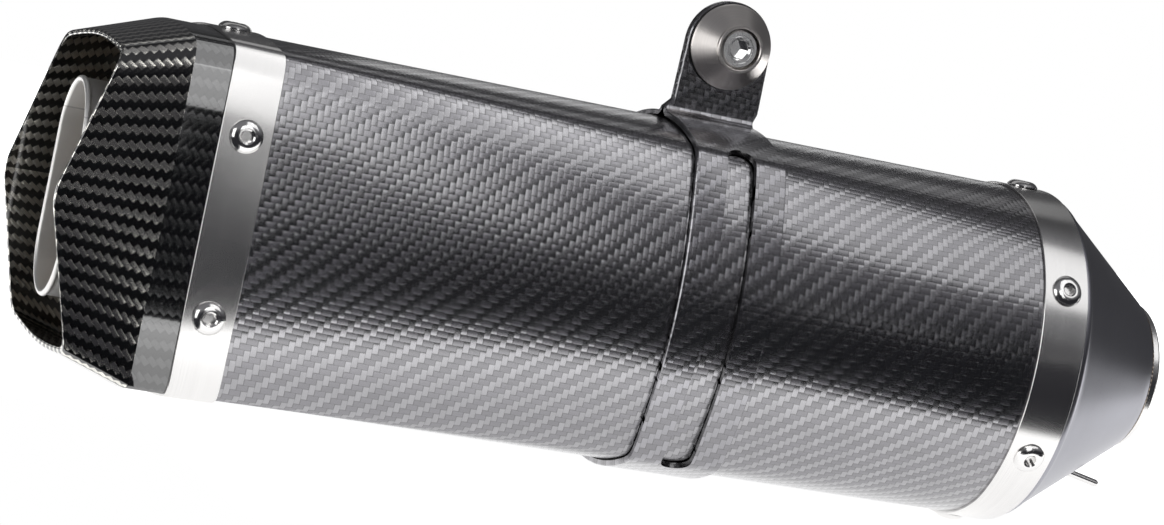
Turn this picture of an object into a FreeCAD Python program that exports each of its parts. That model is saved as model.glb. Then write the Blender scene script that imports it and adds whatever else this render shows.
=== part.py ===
"""Motorcycle exhaust muffler: a carbon sleeve between a carbon outlet cap and a steel inlet cone.

Frame: origin at the centre of the inlet socket's mouth, +X out of that mouth along the gas axis,
+Z up towards the hanger tab, -Y on the side that shows the hanger bolt's head. Millimetres.
"""
import FreeCAD, Part
import math
import os

from FreeCAD import Vector

# ---- driving dimensions, mm and degrees --------------------------------------------------------

# body section: a rounded oval at the inlet that becomes a tall six-sided shape at the outlet
HALF_HEIGHT = 60.0
INLET_HALF_DEPTH = 54.0
OUTLET_HALF_DEPTH = 40.0
OVAL_POWER = 2.1
FACET_POWER = 20.0
ROOF_ANGLE = 82.0
SECTION_POINTS = 120

# stations along the axis, from the inlet mouth at 0 towards the outlet
CONE_SMALL_X = -4.5
CONE_SMALL_R = 29.0
CONE_LIP_R = 3.2
INLET_BAND_FRONT_X = -49.0
BAND_WIDTH = 17.0
STRAP_X = -184.5
STRAP_WIDTH = 33.5
OUTLET_BAND_REAR_X = -364.0
CAP_TAPER_X = -376.5
RIM_TIP_X = -412.5
RIM_CORNER_X = -399.5

# sheet thicknesses and the gap left between stacked layers
SLEEVE_WALL = 1.5
BAND_WALL = 0.8
FLANGE_WALL = 1.2
CAP_WALL = 1.7
STRAP_WALL = 1.8
LINER_WALL = 0.5
LAYER_GAP = 0.05

# outlet cap
CAP_TAPER_TOP = 19.0
CAP_TAPER_SIDE = 12.0
RIM_SLANT = 0.07
RIM_TIP_RADIUS = 22.0

# gas path
SOCKET_BORE_R = 25.5
SOCKET_OUTER_R = 27.0
SOCKET_END_X = -46.0
CORE_INNER_R = 27.05
CORE_OUTER_R = 28.3
CORE_FRONT_X = -34.0
CORE_REAR_X = -352.5
MOUTH_HALF_HEIGHT = 36.0
MOUTH_HALF_WIDTH = 19.0
MOUTH_X = -402.5
MOUTH_TUBE_WALL = 1.5
CORE_HOLE_R = 2.6
CORE_HOLES_AROUND = 10
CORE_HOLE_PITCH = 12.0

# hanger tab and its hardware
TAB_BOLT_Z = 88.5
TAB_SHIFT = 2.0
TAB_TOP_R = 15.6
TAB_BASE_HALF = 16.0
LEAF_GAP = 0.15
BEND_R = 3.0
SLOT_HALF_WIDTH = 5.4
SLOT_END_ANGLE = 58.5
BOLT_R = 4.0
BOLT_HEAD_R = 6.6
RUNNING_GAP = 0.06
BUSH_COLLAR_R = 6.0

# rivets: their angles round the section, from the -Y side towards +Z
OUTLET_RIVET_ANGLE = 36.5
INLET_RIVET_ANGLE = 32.0
RIVET_HEAD_R = 5.5
RIVET_SHANK_R = 2.9
RIVET_MANDREL_R = 2.0

# ---- derived stations ---------------------------------------------------------------------------

INLET_BAND_REAR_X = INLET_BAND_FRONT_X - BAND_WIDTH
OUTLET_BAND_FRONT_X = OUTLET_BAND_REAR_X + BAND_WIDTH
SLEEVE_FRONT_X = INLET_BAND_FRONT_X - 3.5
SLEEVE_REAR_X = OUTLET_BAND_REAR_X + 4.5
END_GAP = 0.3
SKIRT_INSET = SLEEVE_WALL + LAYER_GAP
FLANGE_INSET = SKIRT_INSET + FLANGE_WALL + LAYER_GAP
INLET_PLATE_X = INLET_BAND_REAR_X - 3.0
OUTLET_PLATE_X = OUTLET_BAND_FRONT_X + 6.0
STRAP_FRONT_X = STRAP_X + STRAP_WIDTH / 2
STRAP_REAR_X = STRAP_X - STRAP_WIDTH / 2
TAB_X = STRAP_X + TAB_SHIFT
STRAP_INNER = LINER_WALL + 2 * LAYER_GAP
STRAP_OUTER = STRAP_INNER + STRAP_WALL
LEAF_OUTER = LEAF_GAP + STRAP_WALL
AXIS = Vector(1, 0, 0)
CENTRE = Vector(0, 0, 0)


# ---- sections -----------------------------------------------------------------------------------

def oval_radius(angle, half_height, half_depth):
    """Radius of the rounded oval at an angle from the -Y side towards +Z."""
    side = (abs(math.cos(angle)) / half_depth) ** OVAL_POWER
    top = (abs(math.sin(angle)) / half_height) ** OVAL_POWER
    return (side + top) ** (-1 / OVAL_POWER)


def hexagon_radius(angle, half_height, half_depth):
    """Radius of a six-sided shape with soft corners: two upright sides and four shallow roofs."""
    roof = math.radians(ROOF_ANGLE)
    roof_distance = half_height * math.sin(roof) * 2 ** (1 / FACET_POWER)
    facets = [(0.0, half_depth), (math.pi, half_depth)]
    for facing in (roof, math.pi - roof, -roof, roof - math.pi):
        facets.append((facing, roof_distance))
    total = 0.0
    for facing, distance in facets:
        total += (max(0.0, math.cos(angle - facing)) / distance) ** FACET_POWER
    return total ** (-1 / FACET_POWER)


def oblong_radius(angle, half_height, half_width):
    """Radius of an upright slot shape with half-round ends."""
    across = abs(math.cos(angle))
    up = abs(math.sin(angle))
    end_centre = half_height - half_width
    if up * half_width <= across * end_centre:
        return half_width / across
    return end_centre * up + math.sqrt(half_width ** 2 - (end_centre * across) ** 2)


def body_radius(x, offset):
    """Section function of the body at station x, grown by offset."""
    share = (INLET_BAND_FRONT_X - x) / (INLET_BAND_FRONT_X - OUTLET_BAND_REAR_X)
    height = HALF_HEIGHT + offset

    def radius(angle):
        oval = oval_radius(angle, height, INLET_HALF_DEPTH + offset)
        hexagon = hexagon_radius(angle, height, OUTLET_HALF_DEPTH + offset)
        return (1 - share) * oval + share * hexagon

    return radius


def inlet_radius(offset):
    return body_radius(INLET_BAND_FRONT_X, offset)


def cap_radius(x, offset):
    """Section function of the outlet cap: the outlet section, then tapered towards the rim."""
    length = max(0.0, CAP_TAPER_X - x)
    height = HALF_HEIGHT + offset - length * math.tan(math.radians(CAP_TAPER_TOP))
    depth = OUTLET_HALF_DEPTH + offset - length * math.tan(math.radians(CAP_TAPER_SIDE))
    return lambda angle: hexagon_radius(angle, height, depth)


def round_radius(radius):
    return lambda angle: radius


def section_point(x, radius, angle):
    return Vector(x, -radius(angle) * math.cos(angle), radius(angle) * math.sin(angle))


def section_wire(x, radius):
    step = 2 * math.pi / SECTION_POINTS
    points = [section_point(x, radius, index * step) for index in range(SECTION_POINTS)]
    parameters = [index / SECTION_POINTS for index in range(SECTION_POINTS + 1)]
    curve = Part.BSplineCurve()
    curve.interpolate(Points=points, PeriodicFlag=True, Parameters=parameters)
    return Part.Wire(curve.toShape())


def loft(stations, ruled=True):
    """Solid through a list of (x, section function) pairs."""
    wires = [section_wire(x, radius) for x, radius in stations]
    return Part.makeLoft(wires, True, ruled)


def body_solid(x_start, x_end, offset):
    return loft([(x_start, body_radius(x_start, offset)), (x_end, body_radius(x_end, offset))])


def body_ring(x_start, x_end, inner_offset, outer_offset):
    """Ring that follows the body's section between two stations."""
    outer = body_solid(x_start, x_end, outer_offset)
    inner = body_solid(x_start + 1.0, x_end - 1.0, inner_offset)
    return outer.cut(inner)


def cylinder(x_start, x_end, radius):
    return Part.makeCylinder(radius, x_start - x_end, Vector(x_end, 0, 0), AXIS)


def tube(x_start, x_end, inner_radius, outer_radius):
    outer = cylinder(x_start, x_end, outer_radius)
    return outer.cut(cylinder(x_start + 1.0, x_end - 1.0, inner_radius))


def revolved(points, axis_point, axis_direction):
    """Solid of revolution of a closed outline."""
    outline = Part.makePolygon(points + [points[0]])
    return Part.Face(outline).revolve(axis_point, axis_direction, 360)


# ---- rivets -------------------------------------------------------------------------------------

def surface_frame(x, angle):
    """Point on the sleeve's surface and its outward normal."""
    small = 0.01
    point = section_point(x, body_radius(x, 0.0), angle)
    around = section_point(x, body_radius(x, 0.0), angle + small) - section_point(
        x, body_radius(x, 0.0), angle - small)
    along = section_point(x + 1.0, body_radius(x + 1.0, 0.0), angle) - point
    normal = around.cross(along)
    normal.normalize()
    outward = Vector(0, -math.cos(angle), math.sin(angle))
    if normal.dot(outward) < 0:
        normal = normal * -1
    return point, normal


def rivet_angles(side_angle):
    side = math.radians(side_angle)
    return [side, -side, math.pi - side, side - math.pi, math.pi / 2, -math.pi / 2]


def rivet_blank():
    """Domed blind rivet along +Z, its head seated at height 0."""
    grip = BAND_WALL + FLANGE_INSET + FLANGE_WALL + 0.5
    profile = [
        Vector(0, 0, -grip - 2.4),
        Vector(2.6, 0, -grip - 2.4),
        Vector(3.9, 0, -grip - 1.4),
        Vector(3.9, 0, -grip),
        Vector(RIVET_SHANK_R, 0, -grip),
        Vector(RIVET_SHANK_R, 0, 0),
        Vector(RIVET_HEAD_R, 0, 0),
    ]
    rim = [
        Vector(RIVET_HEAD_R, 0, 0.5),
        Vector(RIVET_HEAD_R - 0.3, 0, 0.85),
    ]
    crown = Part.Arc(rim[1], Vector(4.1, 0, 1.75), Vector(RIVET_MANDREL_R + 0.5, 0, 2.1))
    hole = [
        Vector(RIVET_MANDREL_R + 0.5, 0, 2.1),
        Vector(RIVET_MANDREL_R, 0, 1.7),
        Vector(RIVET_MANDREL_R, 0, -0.8),
        Vector(RIVET_MANDREL_R * 0.6, 0, -0.5),
        Vector(0, 0, -0.4),
        profile[0],
    ]
    edges = Part.makePolygon(profile + rim).Edges
    edges.append(crown.toShape())
    edges.extend(Part.makePolygon(hole).Edges)
    return Part.Face(Part.Wire(edges)).revolve(CENTRE, Vector(0, 0, 1), 360)


def rivet_ring(x, side_angle):
    """Six rivets round a band."""
    seat = LAYER_GAP + BAND_WALL + 0.03
    rivets = []
    for angle in rivet_angles(side_angle):
        point, normal = surface_frame(x, angle)
        rivet = rivet_blank()
        rivet.Placement = FreeCAD.Placement(point + normal * seat,
                                            FreeCAD.Rotation(Vector(0, 0, 1), normal))
        rivets.append(rivet)
    return rivets


def drilled(shape, x, side_angle):
    """The shape with the six rivet holes of a band drilled through it."""
    holes = []
    for angle in rivet_angles(side_angle):
        point, normal = surface_frame(x, angle)
        start = point - normal * 9.0
        holes.append(Part.makeCylinder(RIVET_SHANK_R + LAYER_GAP, 14.0, start, normal))
    return shape.cut(holes)


OUTLET_RIVET_X = (OUTLET_BAND_REAR_X + OUTLET_BAND_FRONT_X) / 2
INLET_RIVET_X = (INLET_BAND_REAR_X + INLET_BAND_FRONT_X) / 2


def outlet_drilled(shape):
    return drilled(shape, OUTLET_RIVET_X, OUTLET_RIVET_ANGLE)


def inlet_drilled(shape):
    return drilled(shape, INLET_RIVET_X, INLET_RIVET_ANGLE)


# ---- sleeve and bands ---------------------------------------------------------------------------

def outer_sleeve():
    shell = body_ring(SLEEVE_FRONT_X, SLEEVE_REAR_X, -SLEEVE_WALL, 0.0)
    return inlet_drilled(outlet_drilled(shell))


def band(front_x, rear_x):
    return body_ring(front_x, rear_x, LAYER_GAP, LAYER_GAP + BAND_WALL)


# ---- outlet end ---------------------------------------------------------------------------------

def rim_cutter():
    """Everything behind the cap's rim: a blunt point at mid-height, slanted across the cap."""
    slope = (RIM_CORNER_X - RIM_TIP_X) / 50.0
    tilt = math.atan(slope)
    reach = 90.0
    back_x = RIM_TIP_X - 60.0
    blend_z = RIM_TIP_RADIUS * math.sin(tilt)
    blend_x = RIM_TIP_X + RIM_TIP_RADIUS * (1 - math.cos(tilt))
    far_x = blend_x + slope * (reach - blend_z)
    top = Part.makePolygon([Vector(blend_x, -reach, blend_z), Vector(far_x, -reach, reach),
                            Vector(back_x, -reach, reach), Vector(back_x, -reach, -reach),
                            Vector(far_x, -reach, -reach), Vector(blend_x, -reach, -blend_z)])
    tip = Part.Arc(Vector(blend_x, -reach, -blend_z), Vector(RIM_TIP_X, -reach, 0),
                   Vector(blend_x, -reach, blend_z))
    face = Part.Face(Part.Wire(top.Edges + [tip.toShape()]))
    face.translate(Vector(RIM_SLANT * reach, 0, 0))
    return face.extrude(Vector(-2 * reach * RIM_SLANT, 2 * reach, 0))


def outlet_end_cap():
    """Cap whose skirt sits inside the sleeve; outside, a straight land and then the taper."""
    skirt_end_x = OUTLET_BAND_FRONT_X + 2.5
    seam_x = SLEEVE_REAR_X - END_GAP / 2
    land_x = seam_x - END_GAP
    step_x = land_x - 4.0
    back_x = RIM_TIP_X - 8.0
    bore = -SKIRT_INSET - FLANGE_WALL
    outer = loft([(skirt_end_x, body_radius(skirt_end_x, -SKIRT_INSET)),
                  (seam_x, body_radius(seam_x, -SKIRT_INSET)),
                  (land_x, body_radius(land_x, 0.0)),
                  (OUTLET_BAND_REAR_X, cap_radius(OUTLET_BAND_REAR_X, 0.0)),
                  (CAP_TAPER_X, cap_radius(CAP_TAPER_X, 0.0)),
                  (back_x, cap_radius(back_x, 0.0))])
    inner = loft([(skirt_end_x + 1.0, body_radius(skirt_end_x + 1.0, bore)),
                  (step_x, cap_radius(step_x, bore)),
                  (step_x - 3.0, cap_radius(step_x - 3.0, -CAP_WALL)),
                  (CAP_TAPER_X, cap_radius(CAP_TAPER_X, -CAP_WALL)),
                  (back_x - 1.0, cap_radius(back_x - 1.0, -CAP_WALL))])
    return outlet_drilled(outer.cut([inner, rim_cutter()]))


def outlet_bulkhead():
    """Pressed dish: a plate that carries the outlet tube, and a flange inside the cap's skirt."""
    hub_r = CORE_OUTER_R + 3.6
    dish = body_solid(OUTLET_PLATE_X, OUTLET_BAND_REAR_X + 4.0, -FLANGE_INSET)
    hollow = body_solid(OUTLET_PLATE_X - FLANGE_WALL, OUTLET_BAND_REAR_X, -FLANGE_INSET - FLANGE_WALL)
    bore = cylinder(OUTLET_PLATE_X + 5.0, OUTLET_PLATE_X - 30.0, hub_r)
    return outlet_drilled(dish.cut([hollow, bore]))


def outlet_tube():
    """Round where it takes the core, then pressed to an upright oblong mouth with a rolled lip."""
    front_x = OUTLET_PLATE_X + 4.0
    round_end_x = OUTLET_PLATE_X - 18.0
    oblong_x = MOUTH_X + 14.0
    round_r = CORE_OUTER_R + 3.5

    def solid(inset, overshoot):
        stations = [(front_x + overshoot, round_radius(round_r - inset)),
                    (round_end_x, round_radius(round_r - inset))]
        steps = 6
        for step in range(1, steps + 1):
            share = step / steps
            ease = share * share * (3 - 2 * share)
            x = round_end_x + (oblong_x - round_end_x) * share
            stations.append((x, blended(round_r - inset, ease, inset)))
        stations.append((MOUTH_X - overshoot, blended(round_r - inset, 1.0, inset)))
        return loft(stations)

    def blended(radius, ease, inset):
        def section(angle):
            oblong = oblong_radius(angle, MOUTH_HALF_HEIGHT - inset, MOUTH_HALF_WIDTH - inset)
            return (1 - ease) * radius + ease * oblong
        return section

    lip = loft([(MOUTH_X + 2.4, blended(0.0, 1.0, 0.2)), (MOUTH_X + 1.6, blended(0.0, 1.0, -0.6)),
                (MOUTH_X + 0.6, blended(0.0, 1.0, -0.6)), (MOUTH_X, blended(0.0, 1.0, 0.0))])
    return solid(0.0, 0.0).fuse(lip).cut(solid(MOUTH_TUBE_WALL, 1.0))


def outlet_tube_weld():
    """Fillet weld between the outlet tube and the rear face of its bulkhead."""
    inner = CORE_OUTER_R + 3.55
    base_x = OUTLET_PLATE_X - FLANGE_WALL - LAYER_GAP
    outline = [Vector(base_x, 0, inner), Vector(base_x, 0, inner + 2.6),
               Vector(base_x - 0.9, 0, inner + 1.9), Vector(base_x - 1.9, 0, inner + 0.9),
               Vector(base_x - 2.6, 0, inner)]
    return revolved(outline, CENTRE, AXIS)


# ---- inlet end ----------------------------------------------------------------------------------

def cone_stations(inset, first_turn, overshoot):
    """Stations from the rounded lip beside the band to the cone's small end."""
    lip_x = INLET_BAND_FRONT_X + 0.6
    small_r = CONE_SMALL_R - inset
    slope = (small_r - HALF_HEIGHT) / (CONE_SMALL_X - lip_x)
    stations = []
    for turn in (22.0, 44.0, 66.0):
        if turn >= first_turn:
            angle = math.radians(turn)
            fall = CONE_LIP_R * (1 - math.cos(angle))
            stations.append((lip_x + CONE_LIP_R * math.sin(angle), inlet_radius(-inset - fall)))
    stations.append((CONE_SMALL_X + overshoot, round_radius(small_r + slope * overshoot)))
    return stations


def cone_form():
    """Outer form of the inlet cone with the skirt that sits inside the sleeve."""
    skirt_end_x = INLET_BAND_REAR_X - 2.0
    seam_x = SLEEVE_FRONT_X + END_GAP / 2
    stations = [(skirt_end_x, body_radius(skirt_end_x, -SKIRT_INSET)),
                (seam_x, body_radius(seam_x, -SKIRT_INSET)),
                (seam_x + END_GAP, body_radius(seam_x + END_GAP, 0.0)),
                (INLET_BAND_FRONT_X + 0.6, inlet_radius(0.0))]
    return loft(stations + cone_stations(0.0, 22.0, 0.0))


def inlet_cone():
    skirt_end_x = INLET_BAND_REAR_X - 2.0
    bore = -SKIRT_INSET - FLANGE_WALL
    stations = [(skirt_end_x - 1.0, body_radius(skirt_end_x - 1.0, bore)),
                (INLET_BAND_FRONT_X, inlet_radius(bore))]
    inner = loft(stations + cone_stations(FLANGE_WALL, 66.0, 1.0))
    return inlet_drilled(cone_form().cut(inner))


def inlet_bulkhead():
    """Plate that closes the packing chamber, flanged inside the cone's skirt."""
    dish = body_solid(SLEEVE_FRONT_X - 1.5, INLET_PLATE_X, -FLANGE_INSET)
    hollow = body_solid(SLEEVE_FRONT_X, INLET_PLATE_X + FLANGE_WALL, -FLANGE_INSET - FLANGE_WALL)
    bore = cylinder(INLET_PLATE_X + 10.0, INLET_PLATE_X - 10.0, CORE_OUTER_R + LAYER_GAP)
    return inlet_drilled(dish.cut([hollow, bore]))


def inlet_socket():
    """Steel tube that the link pipe slides into, with a rounded mouth."""
    outline = [Vector(0.0, 0, SOCKET_BORE_R), Vector(0.0, 0, SOCKET_BORE_R + 0.6),
               Vector(-0.3, 0, SOCKET_BORE_R + 1.1), Vector(-1.0, 0, SOCKET_OUTER_R),
               Vector(SOCKET_END_X, 0, SOCKET_OUTER_R), Vector(SOCKET_END_X, 0, SOCKET_BORE_R)]
    return revolved(outline, CENTRE, AXIS)


def inlet_weld():
    """Weld bead between the cone's small end and the socket."""
    base_x = CONE_SMALL_X + LAYER_GAP
    inner = SOCKET_OUTER_R + LAYER_GAP
    outline = [Vector(base_x, 0, inner), Vector(base_x, 0, CONE_SMALL_R - 0.2),
               Vector(base_x + 0.7, 0, CONE_SMALL_R - 0.7), Vector(base_x + 1.2, 0, inner)]
    return revolved(outline, CENTRE, AXIS)


# ---- inside -------------------------------------------------------------------------------------

def perforated_core():
    """Tube with staggered rows of holes where the packing surrounds it."""
    shell = tube(CORE_FRONT_X, CORE_REAR_X, CORE_INNER_R, CORE_OUTER_R)
    first_x = INLET_PLATE_X - 12.0
    last_x = OUTLET_PLATE_X + 16.0
    rows = int((first_x - last_x) / CORE_HOLE_PITCH) + 1
    holes = []
    for row in range(rows):
        x = first_x - row * CORE_HOLE_PITCH
        for index in range(CORE_HOLES_AROUND):
            angle = 2 * math.pi * (index + 0.5 * (row % 2)) / CORE_HOLES_AROUND
            outward = Vector(0, math.cos(angle), math.sin(angle))
            start = Vector(x, 0, 0) + outward * (CORE_INNER_R - 4.0)
            holes.append(Part.makeCylinder(CORE_HOLE_R, 8.0, start, outward))
    return shell.cut(holes)


def core_slip_ring():
    """Knitted wire ring that carries the core's free end and lets it grow when hot."""
    inner = CORE_OUTER_R + LAYER_GAP
    outer = CORE_OUTER_R + 3.5 - MOUTH_TUBE_WALL - LAYER_GAP
    return tube(CORE_REAR_X + 13.0, CORE_REAR_X + 3.0, inner, outer)


def steel_wool_wrap():
    return tube(INLET_PLATE_X - 1.0, OUTLET_PLATE_X + 5.0, CORE_OUTER_R + 0.1, CORE_OUTER_R + 3.6)


def packing_wool():
    front_x = INLET_PLATE_X - 1.0
    rear_x = OUTLET_PLATE_X + 1.0
    blanket = body_solid(front_x, rear_x, -SLEEVE_WALL - 0.1)
    return blanket.cut(cylinder(front_x + 1.0, rear_x - 1.0, CORE_OUTER_R + 3.8))


# ---- mounting strap -----------------------------------------------------------------------------

def both_sides(cutter):
    return [cutter, cutter.mirror(CENTRE, Vector(0, 1, 0))]


def window_wedge(half_width, turn):
    """Wedge from the axis that opens a square-ended window in one side of a ring."""
    reach = 160.0
    corners = [Vector(STRAP_X - half_width, 0, 0)]
    for angle in (-turn, 0.0, turn):
        corners.append(Vector(STRAP_X - half_width, -reach * math.cos(angle), reach * math.sin(angle)))
    corners.append(corners[0])
    return Part.Face(Part.makePolygon(corners)).extrude(Vector(2 * half_width, 0, 0))


def slot_cutter():
    """Long slot with half-round ends in one side of the strap."""
    end = math.radians(SLOT_END_ANGLE)
    turn = end - SLOT_HALF_WIDTH / body_radius(STRAP_X, 0)(end)
    ends = []
    for angle in (-turn, turn):
        point, normal = surface_frame(STRAP_X, angle)
        ends.append(Part.makeCylinder(SLOT_HALF_WIDTH, 30.0, point - normal * 10.0, normal))
    return window_wedge(SLOT_HALF_WIDTH, turn).fuse(ends)


def top_gap(half_gap):
    """Block that opens a ring at its top."""
    return Part.makeBox(STRAP_WIDTH + 10, 2 * half_gap, 60,
                        Vector(STRAP_REAR_X - 5, -half_gap, 30))


def tab_outline():
    """Side shape of the tab: slightly tapered sides under a round top."""
    base_z = 55.0
    arc = Part.Arc(Vector(TAB_X + TAB_TOP_R, -20, TAB_BOLT_Z),
                   Vector(TAB_X, -20, TAB_BOLT_Z + TAB_TOP_R),
                   Vector(TAB_X - TAB_TOP_R, -20, TAB_BOLT_Z))
    shoulder_z = 67.0
    corners = [Vector(TAB_X - TAB_TOP_R, -20, TAB_BOLT_Z),
               Vector(TAB_X - TAB_BASE_HALF, -20, shoulder_z),
               Vector(STRAP_REAR_X, -20, shoulder_z - 3.0),
               Vector(STRAP_REAR_X, -20, base_z),
               Vector(STRAP_FRONT_X, -20, base_z),
               Vector(STRAP_FRONT_X, -20, shoulder_z - 3.0),
               Vector(TAB_X + TAB_BASE_HALF, -20, shoulder_z),
               Vector(TAB_X + TAB_TOP_R, -20, TAB_BOLT_Z)]
    wire = Part.Wire([arc.toShape()] + Part.makePolygon(corners).Edges)
    return Part.Face(wire).extrude(Vector(0, 40, 0))


def near_leaf(join_y):
    """Bent sheet from the loop's end up into one leaf of the tab, on the -Y side."""
    bend_y = -LEAF_OUTER - BEND_R
    top_z = TAB_BOLT_Z + TAB_TOP_R + 1.0
    loop_z = section_point(STRAP_X, body_radius(STRAP_X, STRAP_OUTER), math.pi / 2 - 0.09).z
    bend_z = loop_z + BEND_R
    inner_r = BEND_R + STRAP_WALL
    diagonal = math.sqrt(0.5)
    x = STRAP_REAR_X
    outer_arc = Part.Arc(Vector(x, bend_y, loop_z),
                         Vector(x, bend_y + BEND_R * diagonal, bend_z - BEND_R * diagonal),
                         Vector(x, -LEAF_OUTER, bend_z))
    inner_arc = Part.Arc(Vector(x, -LEAF_GAP, bend_z),
                         Vector(x, bend_y + inner_r * diagonal, bend_z - inner_r * diagonal),
                         Vector(x, bend_y, loop_z - STRAP_WALL))
    upper = Part.makePolygon([Vector(x, -LEAF_OUTER, bend_z), Vector(x, -LEAF_OUTER, top_z),
                              Vector(x, -LEAF_GAP, top_z), Vector(x, -LEAF_GAP, bend_z)])
    lower = Part.makePolygon([Vector(x, bend_y, loop_z - STRAP_WALL),
                              Vector(x, -join_y, loop_z - STRAP_WALL - 0.15),
                              Vector(x, -join_y, loop_z - 0.15), Vector(x, bend_y, loop_z)])
    wire = Part.Wire([outer_arc.toShape()] + upper.Edges + [inner_arc.toShape()] + lower.Edges)
    sheet = Part.Face(wire).extrude(Vector(TAB_X + TAB_BASE_HALF + 1.0 - x, 0, 0))
    return sheet.common(tab_outline())


def bolt_hole(radius):
    return Part.makeCylinder(radius, 40, Vector(TAB_X, -20, TAB_BOLT_Z), Vector(0, 1, 0))


def mount_strap():
    """One bent strap: a loop round the sleeve whose two ends rise as the leaves of the tab."""
    open_half = LEAF_OUTER + BEND_R
    join_y = open_half + 1.2
    loop = body_ring(STRAP_FRONT_X, STRAP_REAR_X, STRAP_INNER, STRAP_OUTER)
    loop = loop.cut([top_gap(open_half)] + both_sides(slot_cutter()))
    leaf = near_leaf(join_y)
    whole = loop.fuse([leaf, leaf.mirror(CENTRE, Vector(0, 1, 0))])
    return whole.cut(bolt_hole(BUSH_COLLAR_R + LAYER_GAP))


def strap_liner():
    """Thin heat-proof strip between the strap and the sleeve."""
    ring = body_ring(STRAP_FRONT_X - 1.0, STRAP_REAR_X + 1.0, LAYER_GAP, LAYER_GAP + LINER_WALL)
    window = window_wedge(SLOT_HALF_WIDTH + 0.8, math.radians(SLOT_END_ANGLE + 1.0))
    return ring.cut([top_gap(LEAF_OUTER + BEND_R + 1.6)] + both_sides(window))


# ---- hanger hardware ----------------------------------------------------------------------------

WASHER_R = 14.9
RUBBER_THICKNESS = 0.6
WASHER_BASE_Y = -LEAF_OUTER - RUBBER_THICKNESS - 0.1
WASHER_HEIGHT = 9.8
WASHER_FLOOR = 2.6


def on_bolt_axis(profile):
    """Solid of revolution round the bolt from (radius, height towards -Y) pairs."""
    points = [Vector(TAB_X + radius, -height, TAB_BOLT_Z) for radius, height in profile]
    return revolved(points, Vector(TAB_X, 0, TAB_BOLT_Z), Vector(0, 1, 0))


def rubber_washer():
    base = LEAF_OUTER + LAYER_GAP
    outer_r = WASHER_R + 0.2
    top = base + RUBBER_THICKNESS - LAYER_GAP
    return on_bolt_axis([(BUSH_COLLAR_R + 0.3, base), (outer_r, base), (outer_r, top),
                         (BUSH_COLLAR_R + 0.3, top)])


def conical_washer():
    """Turned bush whose cone leads up to a counterbored hub for the bolt's head."""
    base = -WASHER_BASE_Y
    hub_r = 8.5
    bore_r = BOLT_R + RUNNING_GAP
    counterbore_r = BOLT_HEAD_R + 0.55
    top = base + WASHER_HEIGHT
    floor = base + WASHER_FLOOR
    return on_bolt_axis([(bore_r, base), (WASHER_R - 0.3, base), (WASHER_R, base + 0.3),
                         (WASHER_R, base + 0.9), (WASHER_R - 0.4, base + 1.3), (9.5, base + 7.2),
                         (hub_r, base + 8.4), (hub_r, top - 0.4), (hub_r - 0.35, top),
                         (counterbore_r + 0.3, top), (counterbore_r, top - 0.3),
                         (counterbore_r, floor), (bore_r, floor)])


def hexagon_prism(across_flats, depth, base_y):
    corner_r = across_flats / 2 / math.cos(math.pi / 6)
    corners = []
    for index in range(7):
        angle = index * math.pi / 3
        corners.append(Vector(TAB_X + corner_r * math.cos(angle), base_y,
                              TAB_BOLT_Z + corner_r * math.sin(angle)))
    return Part.Face(Part.makePolygon(corners)).extrude(Vector(0, depth, 0))


BOLT_SEAT = -WASHER_BASE_Y + WASHER_FLOOR + 0.1
BOLT_TOP = -WASHER_BASE_Y + WASHER_HEIGHT - 0.9
BOLT_END_Y = 19.0
THREAD_START_Y = 4.6


def hanger_bolt():
    """Socket-head bolt: ringed face, hexagon socket, and a stud end beyond the far bush."""
    core_r = 3.4
    body = on_bolt_axis([(0, -BOLT_END_Y), (core_r, -BOLT_END_Y), (BOLT_R, -BOLT_END_Y + 0.8),
                         (BOLT_R, -THREAD_START_Y), (core_r, -THREAD_START_Y + 0.3),
                         (core_r, -THREAD_START_Y + 1.3), (BOLT_R, -THREAD_START_Y + 1.6),
                         (BOLT_R, BOLT_SEAT), (BOLT_HEAD_R, BOLT_SEAT), (BOLT_HEAD_R, BOLT_TOP - 0.5),
                         (BOLT_HEAD_R - 0.5, BOLT_TOP), (5.0, BOLT_TOP), (4.9, BOLT_TOP - 0.5),
                         (4.4, BOLT_TOP - 0.5), (4.3, BOLT_TOP - 0.1), (3.9, BOLT_TOP - 0.1),
                         (3.3, BOLT_TOP - 0.7), (0, BOLT_TOP - 0.7)])
    socket_depth = 4.2
    return body.cut(hexagon_prism(6.0, socket_depth, -BOLT_TOP))


def far_bush():
    """Flanged bush in the tab's holes: the bike's bracket seats on its flange."""
    bore_r = BOLT_R + RUNNING_GAP
    flange = LEAF_OUTER + LAYER_GAP
    return on_bolt_axis([(bore_r, LEAF_OUTER - 0.1), (BUSH_COLLAR_R, LEAF_OUTER - 0.1),
                         (BUSH_COLLAR_R, -flange), (11.0, -flange), (11.5, -flange - 0.5),
                         (11.5, -flange - 1.5), (11.0, -flange - 2.0), (bore_r, -flange - 2.0)])


# ---- spring hooks -------------------------------------------------------------------------------

HOOK_ROD_R = 1.4
HOOK_ANGLES = (-88.0, 148.0)
CONE_FLANK = math.atan((HALF_HEIGHT - CONE_SMALL_R) / (CONE_SMALL_X - INLET_BAND_FRONT_X))
HOOK_LIFT = (HOOK_ROD_R + 0.15) / math.cos(CONE_FLANK)


def cone_surface_radius(x, angle):
    """Outer radius of the cone's flank at station x."""
    (start_x, start_section), (end_x, end_section) = cone_stations(0.0, 66.0, 0.0)
    share = (x - start_x) / (end_x - start_x)
    return (1 - share) * start_section(angle) + share * end_section(angle)


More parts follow.
